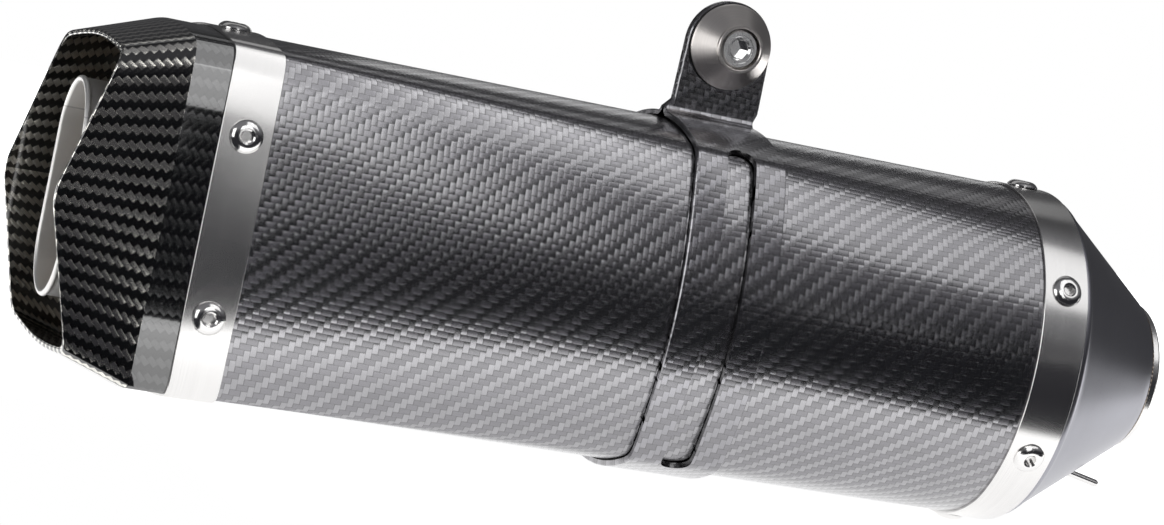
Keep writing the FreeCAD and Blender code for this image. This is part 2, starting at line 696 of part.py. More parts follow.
def hook_path(angle):
    """Corner points of a hook's rod: a foot along the cone's flank, then the free arm."""
    outward = Vector(0, -math.cos(angle), math.sin(angle))
    foot_x = -26.0
    knee_x = -15.5
    foot = Vector(foot_x, 0, 0) + outward * (cone_surface_radius(foot_x, angle) + HOOK_LIFT)
    knee = Vector(knee_x, 0, 0) + outward * (cone_surface_radius(knee_x, angle) + HOOK_LIFT)
    tip = Vector(-1.4, 0, 0) + outward * 41.5
    return foot, knee, tip, outward


def spring_hook(angle):
    foot, knee, tip, outward = hook_path(angle)
    rods = []
    for start, end in ((foot, knee), (knee, tip)):
        run = end - start
        rods.append(Part.makeCylinder(HOOK_ROD_R, run.Length, start, run))
    rods.append(Part.makeSphere(HOOK_ROD_R, knee))
    rods.append(Part.makeSphere(HOOK_ROD_R, tip))
    rods.append(Part.makeSphere(HOOK_ROD_R, foot))
    return rods[0].fuse(rods[1:])


def spring_hooks():
    return [spring_hook(math.radians(angle)) for angle in HOOK_ANGLES]


def hook_weld(angle):
    """Low weld bead along each side of a hook's foot."""
    foot, knee, tip, outward = hook_path(angle)
    drop = HOOK_LIFT - 0.7
    run = knee - foot
    side = run.cross(outward)
    side.normalize()
    beads = []
    for sign in (-1, 1):
        start = foot - outward * drop + side * (sign * HOOK_ROD_R * 0.8) + run * 0.08
        beads.append(Part.makeCylinder(0.75, run.Length * 0.84, start, run))
    bead = beads[0].fuse(beads[1])
    return bead.cut(spring_hook(angle))


def hook_welds():
    """The beads trimmed to the space between each hook's foot and the cone."""
    cone = loft(cone_stations(-LAYER_GAP, 22.0, 0.0))
    beads = []
    for angle in HOOK_ANGLES:
        beads.extend(hook_weld(math.radians(angle)).cut(cone).Solids)
    return beads


# ---- output -------------------------------------------------------------------------------------

def nodes():
    """Every sub-part by node name: one shape, or a list of like pieces."""
    return {
        "outer_sleeve": outer_sleeve(),
        "outlet_end_cap": outlet_end_cap(),
        "outlet_band": outlet_drilled(band(OUTLET_BAND_FRONT_X, OUTLET_BAND_REAR_X)),
        "outlet_band_rivets": rivet_ring(OUTLET_RIVET_X, OUTLET_RIVET_ANGLE),
        "outlet_bulkhead": outlet_bulkhead(),
        "outlet_tube": outlet_tube(),
        "outlet_tube_weld": outlet_tube_weld(),
        "inlet_cone": inlet_cone(),
        "inlet_band": inlet_drilled(band(INLET_BAND_FRONT_X, INLET_BAND_REAR_X)),
        "inlet_band_rivets": rivet_ring(INLET_RIVET_X, INLET_RIVET_ANGLE),
        "inlet_bulkhead": inlet_bulkhead(),
        "inlet_socket": inlet_socket(),
        "inlet_weld": inlet_weld(),
        "perforated_core": perforated_core(),
        "core_slip_ring": core_slip_ring(),
        "steel_wool_wrap": steel_wool_wrap(),
        "packing_wool": packing_wool(),
        "mount_strap": mount_strap(),
        "strap_liner": strap_liner(),
        "rubber_washer": rubber_washer(),
        "conical_washer": conical_washer(),
        "hanger_bolt": hanger_bolt(),
        "far_bush": far_bush(),
        "spring_hooks": spring_hooks(),
        "hook_welds": hook_welds(),
    }


def main():
    os.makedirs("parts", exist_ok=True)
    for name, made in nodes().items():
        solids = made if isinstance(made, list) else made.Solids
        shape = solids[0] if len(solids) == 1 else Part.makeCompound(solids)
        shape.exportStep("parts/" + name + ".step")
        box = shape.BoundBox
        print(name, "solids", len(solids), "valid", shape.isValid(), "cm3", round(shape.Volume / 1000, 3),
              "x", round(box.XMin, 1), round(box.XMax, 1), "y", round(box.YMin, 1), round(box.YMax, 1),
              "z", round(box.ZMin, 1), round(box.ZMax, 1))


main()
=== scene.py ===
"""Looks of the exhaust muffler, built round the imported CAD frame. Metres.

The thin shells are rebuilt here from the body's section formula, with a UV map in metres, so that
the carbon cloth and the brush lines lie along them. Turned and welded parts keep their CAD meshes.
"""
import math

import bmesh
import bpy
import numpy as np
from mathutils import Matrix, Vector


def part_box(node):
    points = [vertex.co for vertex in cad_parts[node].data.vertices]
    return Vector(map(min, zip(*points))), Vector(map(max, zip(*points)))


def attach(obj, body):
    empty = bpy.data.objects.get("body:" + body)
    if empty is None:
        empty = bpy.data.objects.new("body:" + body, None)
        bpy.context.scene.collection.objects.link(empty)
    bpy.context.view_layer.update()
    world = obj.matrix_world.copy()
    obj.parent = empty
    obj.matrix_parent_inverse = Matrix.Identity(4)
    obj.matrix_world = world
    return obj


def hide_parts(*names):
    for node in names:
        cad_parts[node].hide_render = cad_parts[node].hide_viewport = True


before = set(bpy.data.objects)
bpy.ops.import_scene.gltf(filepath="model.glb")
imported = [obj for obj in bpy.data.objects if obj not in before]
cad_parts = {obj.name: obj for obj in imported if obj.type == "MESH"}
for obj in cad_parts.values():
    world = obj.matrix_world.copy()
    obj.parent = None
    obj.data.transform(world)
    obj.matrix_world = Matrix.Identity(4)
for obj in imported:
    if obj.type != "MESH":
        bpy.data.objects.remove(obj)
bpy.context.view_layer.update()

MM = 0.001

# ---- driving dimensions -------------------------------------------------------------------------

# body section; a lower power gives softer corners, and the soft ones are for shading only
INLET_HALF_DEPTH = 54 * MM
OUTLET_HALF_DEPTH = 40 * MM
OVAL_POWER = 2.1
FACET_POWER = 20.0
SOFT_POWER = 5.5
TAPER_SOFT_POWER = 12.0
ROOF_ANGLE = math.radians(82)

# sheets and the gaps between stacked layers
SLEEVE_WALL = 1.5 * MM
BAND_WALL = 0.8 * MM
FLANGE_WALL = 1.2 * MM
CAP_WALL = 1.7 * MM
STRAP_WALL = 1.8 * MM
LINER_WALL = 0.5 * MM
LAYER_GAP = 0.05 * MM
EDGE = 0.18 * MM
STRAP_EDGE = 0.35 * MM

# outlet cap
LAND_GAP = 0.45 * MM
LAND_WIDTH = 12.5 * MM
TAPER_TOP = math.radians(19)
TAPER_SIDE = math.radians(12)
RIM_SLANT = 0.07
RIM_TIP_RADIUS = 22 * MM
RIM_SLOPE = 13 / 50
RIM_LENGTH = 36 * MM
# rounded edge of the rim as (depth into the wall, distance back from the edge) in mm
RIM_ROUNDING = ((0.12, 0.12), (0.45, 0.0), (1.25, 0.0), (1.58, 0.12))
RIM_START = 0.35 * MM

# strap
STRAP_BEND_R = 3 * MM
BEND_TOP_ANGLE = math.pi / 2 - 0.09
LEAF_GAP = 0.15 * MM
TAB_BASE_HALF = 16 * MM
TAB_SHOULDER_Z = 67 * MM
TAB_FLARE = 3 * MM
SLOT_HALF_WIDTH = 5.4 * MM
SLOT_END = math.radians(58.5)
SLOT_LEAST_HALF = 0.02 * MM
SLOT_CUT_LOW = -1 * MM
SLOT_CUT_HIGH = 4 * MM
STRAP_ACROSS = 15
LEAF_ROWS_BEFORE, LEAF_ROWS_AFTER = 4, 2
# material indices of the strap; the leaves' index takes the paler cloth that paints light on them
STRAP_CLOTH, STRAP_CUT, STRAP_PAINTED_LIGHT_LEAF = 0, 1, 2

# cone
CONE_SMALL_R = 29 * MM
CONE_LIP_R = 3.2 * MM
CONE_LIP_START = 0.6 * MM
CONE_TAIL = 1.6 * MM
CONE_END_ROUND = 0.35 * MM
CONE_END_SETBACK = 0.25 * MM
CONE_INNER_STEP = 2.5 * MM
CONE_INNER_FORWARD = 1.0 * MM
CONE_TAIL_INSET = 2.7 * MM

# outlet tube
MOUTH_HALF_HEIGHT = 36 * MM
MOUTH_HALF_WIDTH = 19 * MM
TUBE_WALL = 1.5 * MM
TUBE_ROUND_R = 31.8 * MM
TUBE_ROUND_LENGTH = 22 * MM
TUBE_OBLONG_LENGTH = 14 * MM
TUBE_LIP_LENGTH = 2.6 * MM
TUBE_LIP_R = 1.05 * MM
TUBE_LIP_INSET = 0.45 * MM
SEAM_HEIGHT = 24.5 * MM
SEAM_HALF_WIDTH = 0.25 * MM

# cloth
TOW = 2.0 * MM
TOW_WANDER = 0.9 * MM
TWILL_REPEAT = 4.0
TOW_DOME = 1.6
TOW_DIVE = 0.75

# ---- stations read from the frame ---------------------------------------------------------------

BAND_OUT_LO, BAND_OUT_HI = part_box("outlet_band")
BAND_IN_LO, BAND_IN_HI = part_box("inlet_band")
SLEEVE_LO, SLEEVE_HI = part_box("outer_sleeve")
STRAP_LO, STRAP_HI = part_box("mount_strap")
LINER_LO, LINER_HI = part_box("strap_liner")
CONE_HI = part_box("inlet_cone")[1]
TUBE_LO, TUBE_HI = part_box("outlet_tube")
BOLT_LO, BOLT_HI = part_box("hanger_bolt")
HALF_HEIGHT = SLEEVE_HI.z
REAR_X = BAND_OUT_LO.x
FRONT_X = BAND_IN_HI.x
STRAP_X = (LINER_LO.x + LINER_HI.x) / 2
STRAP_HALF = STRAP_X - STRAP_LO.x
BOLT_X = (BOLT_LO.x + BOLT_HI.x) / 2
BOLT_Z = (BOLT_LO.z + BOLT_HI.z) / 2
TAB_TOP_R = STRAP_HI.z - BOLT_Z
LAND_X = SLEEVE_LO.x - LAND_GAP
CREASE_X = REAR_X - LAND_WIDTH
RIM_TIP_X = CREASE_X - RIM_LENGTH
STRAP_INNER = LINER_WALL + 2 * LAYER_GAP


# ---- sections -----------------------------------------------------------------------------------

def oval_radius(angle, half_height, half_depth):
    side = (np.abs(np.cos(angle)) / half_depth) ** OVAL_POWER
    top = (np.abs(np.sin(angle)) / half_height) ** OVAL_POWER
    return (side + top) ** (-1 / OVAL_POWER)


def hexagon_radius(angle, half_height, half_depth, power):
    """Six-sided section with soft corners; a lower power rounds its faces too."""
    roof_distance = half_height * math.sin(ROOF_ANGLE) * 2 ** (1 / power)
    total = 0.0
    for facing in (0.0, math.pi):
        total = total + (np.maximum(0.0, np.cos(angle - facing)) / half_depth) ** power
    for facing in (ROOF_ANGLE, math.pi - ROOF_ANGLE, -ROOF_ANGLE, ROOF_ANGLE - math.pi):
        total = total + (np.maximum(0.0, np.cos(angle - facing)) / roof_distance) ** power
    return total ** (-1 / power)


def around(x, angle, radius):
    """Points at station x, from the -Y side towards +Z."""
    return np.stack([np.broadcast_to(x, np.shape(radius)), -radius * np.cos(angle),
                     radius * np.sin(angle)], -1)


def body_point(x, angle, offset, power=FACET_POWER):
    share = np.clip((FRONT_X - x) / (FRONT_X - REAR_X), 0.0, 1.0)
    height = HALF_HEIGHT + offset
    oval = oval_radius(angle, height, INLET_HALF_DEPTH + offset)
    hexagon = hexagon_radius(angle, height, OUTLET_HALF_DEPTH + offset, power)
    return around(x, angle, (1 - share) * oval + share * hexagon)


def cap_point(x, angle, offset, power=FACET_POWER):
    length = np.maximum(0.0, CREASE_X - x)
    height = HALF_HEIGHT + offset - length * math.tan(TAPER_TOP)
    depth = OUTLET_HALF_DEPTH + offset - length * math.tan(TAPER_SIDE)
    return around(x, angle, hexagon_radius(angle, height, depth, power))


def rim_x(y, z):
    """Station of the cap's rim: a rounded point at mid-height, slanted across the cap."""
    tilt = math.atan(RIM_SLOPE)
    blend_z = RIM_TIP_RADIUS * math.sin(tilt)
    height = np.abs(z)
    rounded = RIM_TIP_RADIUS - np.sqrt(RIM_TIP_RADIUS ** 2 - np.minimum(height, blend_z) ** 2)
    straight = RIM_SLOPE * np.maximum(0.0, height - blend_z)
    return RIM_TIP_X + rounded + straight - RIM_SLANT * y


def oblong_point(x, angle, half_height, half_width):
    across = np.abs(np.cos(angle))
    up = np.abs(np.sin(angle))
    end = half_height - half_width
    flat = half_width / np.maximum(across, 1e-6)
    root = np.sqrt(np.maximum(half_width ** 2 - (end * across) ** 2, 0.0))
    return around(x, angle, np.where(up * half_width <= across * end, flat, end * up + root))


def round_point(x, angle, radius):
    return around(x, angle, np.full(np.shape(angle), radius))


# ---- mesh building ------------------------------------------------------------------------------

COLUMNS = 360
ANGLES = math.pi + 2 * math.pi * np.arange(COLUMNS) / COLUMNS
SMALL_STEP = 1e-4
RIM_REPEATS = 40


def unit(vectors):
    length = np.linalg.norm(vectors, axis=-1, keepdims=True)
    return vectors / np.maximum(length, 1e-12)


def make_object(name, points, faces, uvs, normals, material_index=None):
    """Mesh object from arrays; uvs and normals hold one row per face corner."""
    mesh = bpy.data.meshes.new(name)
    mesh.from_pydata(points.tolist(), [], faces.tolist())
    layer = mesh.uv_layers.new(name="metres")
    layer.data.foreach_set("uv", uvs.astype(np.float32).ravel())
    mesh.polygons.foreach_set("use_smooth", np.ones(len(faces), bool))
    if material_index is not None:
        mesh.polygons.foreach_set("material_index", material_index.astype(np.int32))
    mesh.update()
    if normals is not None:
        mesh.normals_split_custom_set(normals.tolist())
    obj = bpy.data.objects.new(name, mesh)
    bpy.context.scene.collection.objects.link(obj)
    return obj


def strip_normals(lower, upper):
    """Normals of the strip between two closed rows, smooth along the rows."""
    along = np.roll(lower, -1, 0) - np.roll(lower, 1, 0)
    along = along + np.roll(upper, -1, 0) - np.roll(upper, 1, 0)
    return unit(np.cross(along, upper - lower))


def ring_body(name, rows, normals):
    """Closed ring whose wall has the given rows of points as its outline, in order.

    normals maps a row's index to its own normals; a strip between two such rows uses them, and
    any other strip is shaded from its shape.
    """
    rows = np.array(rows)
    count, columns = rows.shape[:2]
    steps = np.linalg.norm(np.diff(rows, axis=0), axis=-1)
    run = np.concatenate([np.zeros((1, columns)), np.cumsum(steps, axis=0)])
    first = rows[0]
    girth = np.linalg.norm(np.roll(first, -1, 0) - first, axis=-1)
    arc = np.concatenate([[0.0], np.cumsum(girth)])
    faces, uvs, corner_normals = [], [], []
    column = np.arange(columns)
    following = (column + 1) % columns
    outside = strip_normals(rows[1], rows[2])
    inward = np.sum(outside[:, 1:] * rows[1][:, 1:]) < 0
    for row in range(count):
        above = (row + 1) % count
        quad = np.stack([row * columns + column, row * columns + following,
                         above * columns + following, above * columns + column], -1)
        lower_n = upper_n = strip_normals(rows[row], rows[above]) * (-1 if inward else 1)
        if row in normals and above in normals:
            lower_n, upper_n = normals[row], normals[above]
        end_run = run[above] if above else run[row] + np.linalg.norm(rows[0] - rows[row], axis=-1)
        uv = np.stack([np.stack([run[row], arc[:-1]], -1),
                       np.stack([run[row][following], arc[1:]], -1),
                       np.stack([end_run[following], arc[1:]], -1),
                       np.stack([end_run, arc[:-1]], -1)], 1)
        corners = np.stack([lower_n, lower_n[following], upper_n[following], upper_n], 1)
        if inward:
            quad, uv, corners = quad[:, ::-1], uv[:, ::-1], corners[:, ::-1]
        faces.append(quad)
        uvs.append(uv.reshape(-1, 2))
        corner_normals.append(corners.reshape(-1, 3))
    return make_object(name, rows.reshape(-1, 3), np.concatenate(faces), np.concatenate(uvs),
                       np.concatenate(corner_normals))


def surface_normals(point, x, angle):
    """Outward normals of a surface function point(x, angle) by small steps."""
    around_step = point(x, angle + SMALL_STEP) - point(x, angle - SMALL_STEP)
    along_step = point(x + SMALL_STEP, angle) - point(x - SMALL_STEP, angle)
    normal = unit(np.cross(around_step, along_step))
    outward = np.stack([np.zeros_like(angle), -np.cos(angle), np.sin(angle)], -1)
    facing = np.sign(np.sum(normal * outward, -1, keepdims=True))
    return normal * facing


def sheet_ring(name, outer_point, soft_point, inner_point, rear_x, front_x, stations):
    """Ring of sheet with small chamfers on its outer edges, softly shaded outside."""
    outer_x = np.linspace(rear_x + EDGE, front_x - EDGE, stations)
    rows = [outer_point(rear_x, ANGLES, -EDGE)]
    normals = {}
    for x in outer_x:
        normals[len(rows)] = surface_normals(soft_point, x, ANGLES)
        rows.append(outer_point(x, ANGLES, 0.0))
    rows.append(outer_point(front_x, ANGLES, -EDGE))
    rows.append(inner_point(front_x, ANGLES))
    rows.append(inner_point(rear_x, ANGLES))
    return ring_body(name, rows, normals)


def body_ring(name, rear_x, front_x, inner_offset, outer_offset, stations):
    """Ring of sheet along the body, between two offsets from the body's surface."""
    return sheet_ring(
        name,
        lambda x, a, more: body_point(x, a, outer_offset + more),
        lambda x, a: body_point(x, a, outer_offset, SOFT_POWER),
        lambda x, a: body_point(x, a, inner_offset), rear_x, front_x, stations)


def sleeve_shell():
    return body_ring("sleeve_shell", SLEEVE_LO.x, SLEEVE_HI.x, -SLEEVE_WALL, 0.0, 90)


def band_shell(name, low, high):
    return body_ring(name, low.x, high.x, LAYER_GAP, LAYER_GAP + BAND_WALL, 4)


def rim_stations(point, start):
    """Station of the rim at each angle, where the cap's surface meets it."""
    x = np.full(COLUMNS, start)
    for _ in range(RIM_REPEATS):
        here = point(x, ANGLES)
        x = rim_x(here[:, 1], here[:, 2])
    return x


def end_cap_shell():
    """Land, taper, rounded rim edge and inner face of the outlet cap."""
    def outer(x, angle):
        return cap_point(x, angle, 0.0)

    def inner(x, angle):
        return cap_point(x, angle, -CAP_WALL)

    def soft_land(x, angle):
        return cap_point(x, angle, 0.0, SOFT_POWER)

    def soft_taper(x, angle):
        return cap_point(x, angle, 0.0, TAPER_SOFT_POWER)

    def soft_inside(x, angle):
        return cap_point(x, angle, -CAP_WALL, TAPER_SOFT_POWER)

    short = 0.3 * MM
    crease_overlap = 0.05 * MM
    land_rows, taper_rows, inside_rows = 6, 40, 20
    rows, normals = [], {}
    for x in np.linspace(LAND_X, CREASE_X, land_rows):
        normals[len(rows)] = surface_normals(soft_land, x + short, ANGLES)
        rows.append(outer(x, ANGLES))
    edge = rim_stations(outer, RIM_TIP_X)
    for step in range(taper_rows + 1):
        x = CREASE_X + (edge + RIM_START - CREASE_X) * (step / taper_rows)
        if step < taper_rows:  # the last row is shaded from its shape
            here = np.minimum(x, CREASE_X - short)
            normals[len(rows)] = surface_normals(soft_taper, here, ANGLES)
        rows.append(outer(x if step else x - crease_overlap, ANGLES))
    for depth, back in RIM_ROUNDING:
        rows.append(cap_point(edge + back * MM, ANGLES, -depth * MM))
    inside = rim_stations(inner, RIM_TIP_X)
    for step in range(inside_rows + 1):
        share = step / inside_rows
        x = (inside + RIM_START) * (1 - share) + CREASE_X * share
        normals[len(rows)] = -surface_normals(soft_inside, np.minimum(x, CREASE_X - short), ANGLES)
        rows.append(inner(x, ANGLES))
    rows.append(inner(np.full(COLUMNS, LAND_X), ANGLES))
    return ring_body("end_cap_shell", rows, normals)


def outlet_mouth():
    """Oblong tube with a rolled lip, round where it takes the core."""
    front_x, mouth_x = TUBE_HI.x, TUBE_LO.x
    round_end = front_x - TUBE_ROUND_LENGTH
    oblong_x = mouth_x + TUBE_OBLONG_LENGTH
    lip_x = mouth_x + TUBE_LIP_LENGTH
    stations, lip_steps = 24, 11

    def tube(x, inset):
        share = np.clip((x - round_end) / (oblong_x - round_end), 0.0, 1.0)
        ease = share * share * (3 - 2 * share)
        oblong = oblong_point(x, ANGLES, MOUTH_HALF_HEIGHT - inset, MOUTH_HALF_WIDTH - inset)
        return (1 - ease) * round_point(x, ANGLES, TUBE_ROUND_R - inset) + ease * oblong

    rows = [tube(x, 0.0) for x in np.linspace(front_x, lip_x, stations)]
    for turn in np.linspace(-60, 180, lip_steps):
        angle = math.radians(turn)
        rows.append(tube(mouth_x + TUBE_LIP_R - TUBE_LIP_R * math.sin(angle),
                         TUBE_LIP_INSET - TUBE_LIP_R * math.cos(angle)))
    rows += [tube(x, TUBE_WALL) for x in np.linspace(lip_x, front_x, stations)]
    return ring_body("outlet_mouth", rows, {})


def cone_shell():
    """Rounded lip beside the band, flank, and a small rounded end."""
    def section(inset, forward):
        return body_point(FRONT_X, ANGLES, -inset) + np.array([forward, 0, 0])

    rows = [section(0.0, -CONE_TAIL), section(0.0, CONE_LIP_START)]
    for turn in np.linspace(8, 58, 8):
        angle = math.radians(turn)
        rows.append(section(CONE_LIP_R * (1 - math.cos(angle)),
                            CONE_LIP_START + CONE_LIP_R * math.sin(angle)))
    start = rows[-1]
    end = round_point(CONE_HI.x, ANGLES, CONE_SMALL_R)
    for share in np.linspace(0, 1, 25)[1:]:
        rows.append(start * (1 - share) + end * share)
    rows[-1] = rows[-1] + np.array([-CONE_END_SETBACK, 0, 0])
    outer_count = len(rows)
    rows.append(round_point(CONE_HI.x, ANGLES, CONE_SMALL_R - CONE_END_ROUND))
    rows.append(round_point(CONE_HI.x, ANGLES, CONE_SMALL_R - FLANGE_WALL))
    rows.append(section(FLANGE_WALL + CONE_INNER_STEP, CONE_INNER_FORWARD))
    rows.append(section(CONE_TAIL_INSET, -CONE_TAIL))
    smooth = {}
    for row in range(1, outer_count):
        smooth[row] = -strip_normals(rows[row - 1], rows[min(row + 1, outer_count - 1)])
    return ring_body("cone_shell", rows, smooth)


# ---- strap --------------------------------------------------------------------------------------

def strap_levels():
    """Outer y of a leaf, and the height at which the leaves start to bend into the loop."""
    loop_z = body_point(STRAP_X, np.array([BEND_TOP_ANGLE]), STRAP_INNER + STRAP_WALL)[0, 2]
    return LEAF_GAP + STRAP_WALL, loop_z + STRAP_BEND_R


def tab_edges(z):
    """Lower and upper x of the tab at height z: a wide foot, near-upright sides, a round top."""
    if z > BOLT_Z:
        half = math.sqrt(max(TAB_TOP_R ** 2 - (z - BOLT_Z) ** 2, 0.0))
        return BOLT_X - half, BOLT_X + half
    heights = [TAB_SHOULDER_Z - TAB_FLARE, TAB_SHOULDER_Z, BOLT_Z]
    low = np.interp(z, heights, [STRAP_X - STRAP_HALF, BOLT_X - TAB_BASE_HALF, BOLT_X - TAB_TOP_R])
    high = np.interp(z, heights, [STRAP_X + STRAP_HALF, BOLT_X + TAB_BASE_HALF, BOLT_X + TAB_TOP_R])
    return float(low), float(high)


def strap_layer(offset):
    """Rows of the strap's face at an offset from its inner side, from leaf top to leaf top.

    A row is ("flat", y, z) in a leaf or a bend, and ("loop", angle, offset) round the sleeve.
    """
    leaf_y, bend_z = strap_levels()
    rows = []
    top = BOLT_Z + TAB_TOP_R
    heights = np.concatenate([top - TAB_TOP_R * (1 - np.cos(np.linspace(0.03, math.pi / 2, 22))),
                              np.linspace(BOLT_Z, bend_z, 14)[1:]])
    face_y = -(LEAF_GAP + offset)
    for z in heights:
        rows.append(("flat", face_y, z))
    radius = STRAP_BEND_R + STRAP_WALL - offset
    for turn in np.linspace(0, math.pi / 2, 9)[1:-1]:
        centre_y = -(leaf_y + STRAP_BEND_R)
        rows.append(("flat", centre_y + radius * math.cos(turn), bend_z - radius * math.sin(turn)))
    start = math.asin(min(1.0, (leaf_y + STRAP_BEND_R) / (HALF_HEIGHT + STRAP_INNER)))
    for angle in np.linspace(math.pi / 2 - start, 0.0, 90):
        rows.append(("loop", angle, STRAP_INNER + offset))
    mirrored = [(kind, math.pi - value if kind == "loop" else -value, third)
                for kind, value, third in reversed(rows[:-1])]
    lower = [("loop", angle, STRAP_INNER + offset)
             for angle in np.linspace(0.0, -math.pi, 181)[1:-1]]
    mirrored = [(kind, value - 2 * math.pi if kind == "loop" else value, third)
                for kind, value, third in mirrored]
    far_side = ("loop", -math.pi, STRAP_INNER + offset)
    return rows + lower + [far_side] + mirrored


def strap_columns():
    """Places round the strap's section as (signed share of its width, inset, layer offset).

    The outer face has a small bevel along both edges.
    """
    inside = np.linspace(-1, 1, STRAP_ACROSS)
    columns = [(-1.0, 0.0, 0.0), (-1.0, 0.0, STRAP_WALL - STRAP_EDGE)]
    columns += [(share, STRAP_EDGE if abs(share) == 1 else 0.0, STRAP_WALL) for share in inside]
    columns += [(1.0, 0.0, STRAP_WALL - STRAP_EDGE), (1.0, 0.0, 0.0)]
    columns += [(share, 0.0, 0.0) for share in reversed(inside[1:-1])]
    return columns


def strap_body():
    """The whole strap as one strip with two slots: leaves, bends and the loop round the sleeve."""
    layers = {offset: strap_layer(offset) for offset in (0.0, STRAP_WALL - STRAP_EDGE, STRAP_WALL)}
    columns = strap_columns()
    count = len(layers[0.0])
    points = np.zeros((count, len(columns), 3))
    for index, (share, inset, offset) in enumerate(columns):
        for row, (kind, value, third) in enumerate(layers[offset]):
            if kind == "flat":
                low, high = tab_edges(third)
                half = max((high - low) / 2 - inset, 0.05 * MM)
                points[row, index] = ((low + high) / 2 + share * half, value, third)
            else:
                x = STRAP_X + share * (STRAP_HALF - inset)
                points[row, index] = body_point(x, np.array([value]), third)[0]
    middle = points[:, 2 + STRAP_ACROSS // 2]
    run = np.concatenate([[0.0], np.cumsum(np.linalg.norm(np.diff(middle, axis=0), axis=-1))])
    width = len(columns)
    column = np.arange(width)
    following = (column + 1) % width
    faces, uvs, indices = [], [], []
    outside = [index for index, (_, _, offset) in enumerate(columns) if offset == STRAP_WALL]
    edge_columns = (column < outside[0]) | (column == outside[-1]) | (column == outside[-1] + 1)
    fold = min(row for row, (kind, _, _) in enumerate(layers[0.0]) if kind == "loop")
    for row in range(count - 1):
        # the rows on either side of the loop's start keep the loop's cloth
        in_leaf = row < fold - LEAF_ROWS_BEFORE or row > count - fold + LEAF_ROWS_AFTER
        # the leaves get the paler cloth, painted light
        face = STRAP_PAINTED_LIGHT_LEAF if in_leaf else STRAP_CLOTH
        indices.append(np.where(edge_columns, STRAP_CUT, face))
        quad = [row * width + column, (row + 1) * width + column,
                (row + 1) * width + following, row * width + following]
        faces.append(np.stack(quad, -1))
        corner = [(row, column), (row + 1, column), (row + 1, following), (row, following)]
        uv = [np.stack([points[r, c, 0], np.full(width, -run[r])], -1) for r, c in corner]
        uvs.append(np.stack(uv, 1).reshape(-1, 2))
    flat_points = points.reshape(-1, 3)
    obj = make_object("strap_body", flat_points, np.concatenate(faces), np.concatenate(uvs), None,
                      np.concatenate(indices))
    cap_ends(obj, count, width)
    for side in (0.0, math.pi):
        cut_with(obj, slot_cutter(side))
    shade(obj, 32)
    return obj


def cap_ends(obj, count, width):
    """Closes the two narrow ends at the tab's top."""
    mesh = bmesh.new()
    mesh.from_mesh(obj.data)
    mesh.verts.ensure_lookup_table()
    mesh.faces.new([mesh.verts[index] for index in range(width)])
    last = (count - 1) * width
    mesh.faces.new([mesh.verts[last + index] for index in reversed(range(width))])
    bmesh.ops.recalc_face_normals(mesh, faces=mesh.faces)
    mesh.to_mesh(obj.data)
    mesh.free()


def slot_cutter(side):
    """Bar that follows the sleeve, as long and wide as the slot and round at both ends."""
    middle_r = float(np.linalg.norm(body_point(STRAP_X, np.array([SLOT_END]), 0.0)[0, 1:]))
    half_length = SLOT_END * middle_r
    straight = half_length - SLOT_HALF_WIDTH
    ends = SLOT_HALF_WIDTH * np.sin(np.linspace(0, math.pi / 2, 14))[1:]
    runs = np.concatenate([-(straight + ends)[::-1], np.linspace(-straight, straight, 61),
                           straight + ends])
    points = []
    for run in runs:
        beyond = max(0.0, abs(run) - straight)
        half = math.sqrt(max(SLOT_HALF_WIDTH ** 2 - beyond ** 2, SLOT_LEAST_HALF ** 2))
        angle = np.array([run / middle_r])
        for across, offset in ((-half, SLOT_CUT_LOW), (half, SLOT_CUT_LOW),
                               (half, SLOT_CUT_HIGH), (-half, SLOT_CUT_HIGH)):
            here = body_point(STRAP_X + across, angle, offset)[0]
            if side:
                here[1] = -here[1]
            points.append(here)
    faces = []
    last = len(runs) - 1
    for row in range(last):
        for corner in range(4):
            after = (corner + 1) % 4
            faces.append((row * 4 + corner, row * 4 + after, (row + 1) * 4 + after,
                          (row + 1) * 4 + corner))
    faces.append((3, 2, 1, 0))
    faces.append((last * 4, last * 4 + 1, last * 4 + 2, last * 4 + 3))
    mesh = bpy.data.meshes.new("slot_cutter")
    mesh.from_pydata([tuple(point) for point in points], [], faces)
    mesh.polygons.foreach_set("material_index", [STRAP_CUT] * len(faces))
    tool = bmesh.new()
    tool.from_mesh(mesh)
    bmesh.ops.recalc_face_normals(tool, faces=tool.faces)
    tool.to_mesh(mesh)
    tool.free()
    obj = bpy.data.objects.new("slot_cutter", mesh)
    bpy.context.scene.collection.objects.link(obj)
    return obj


def cut_with(obj, cutter):
    """Cuts the cutter out of the object; the cut faces keep the cutter's material index."""
    modifier = obj.modifiers.new("cut", "BOOLEAN")
    modifier.operation = "DIFFERENCE"
    modifier.solver = "EXACT"
    modifier.material_mode = "INDEX"
    modifier.object = cutter
    depsgraph = bpy.context.evaluated_depsgraph_get()
    result = bpy.data.meshes.new_from_object(obj.evaluated_get(depsgraph))
    obj.modifiers.clear()
    obj.data = result
    bpy.data.objects.remove(cutter)


def shade(obj, sharp_angle):
    """Smooth shading with an edge wherever faces meet at more than the angle in degrees."""
    obj.data.polygons.foreach_set("use_smooth", np.ones(len(obj.data.polygons), bool))
    obj.data.set_sharp_from_angle(angle=math.radians(sharp_angle))


# ---- material nodes -----------------------------------------------------------------------------

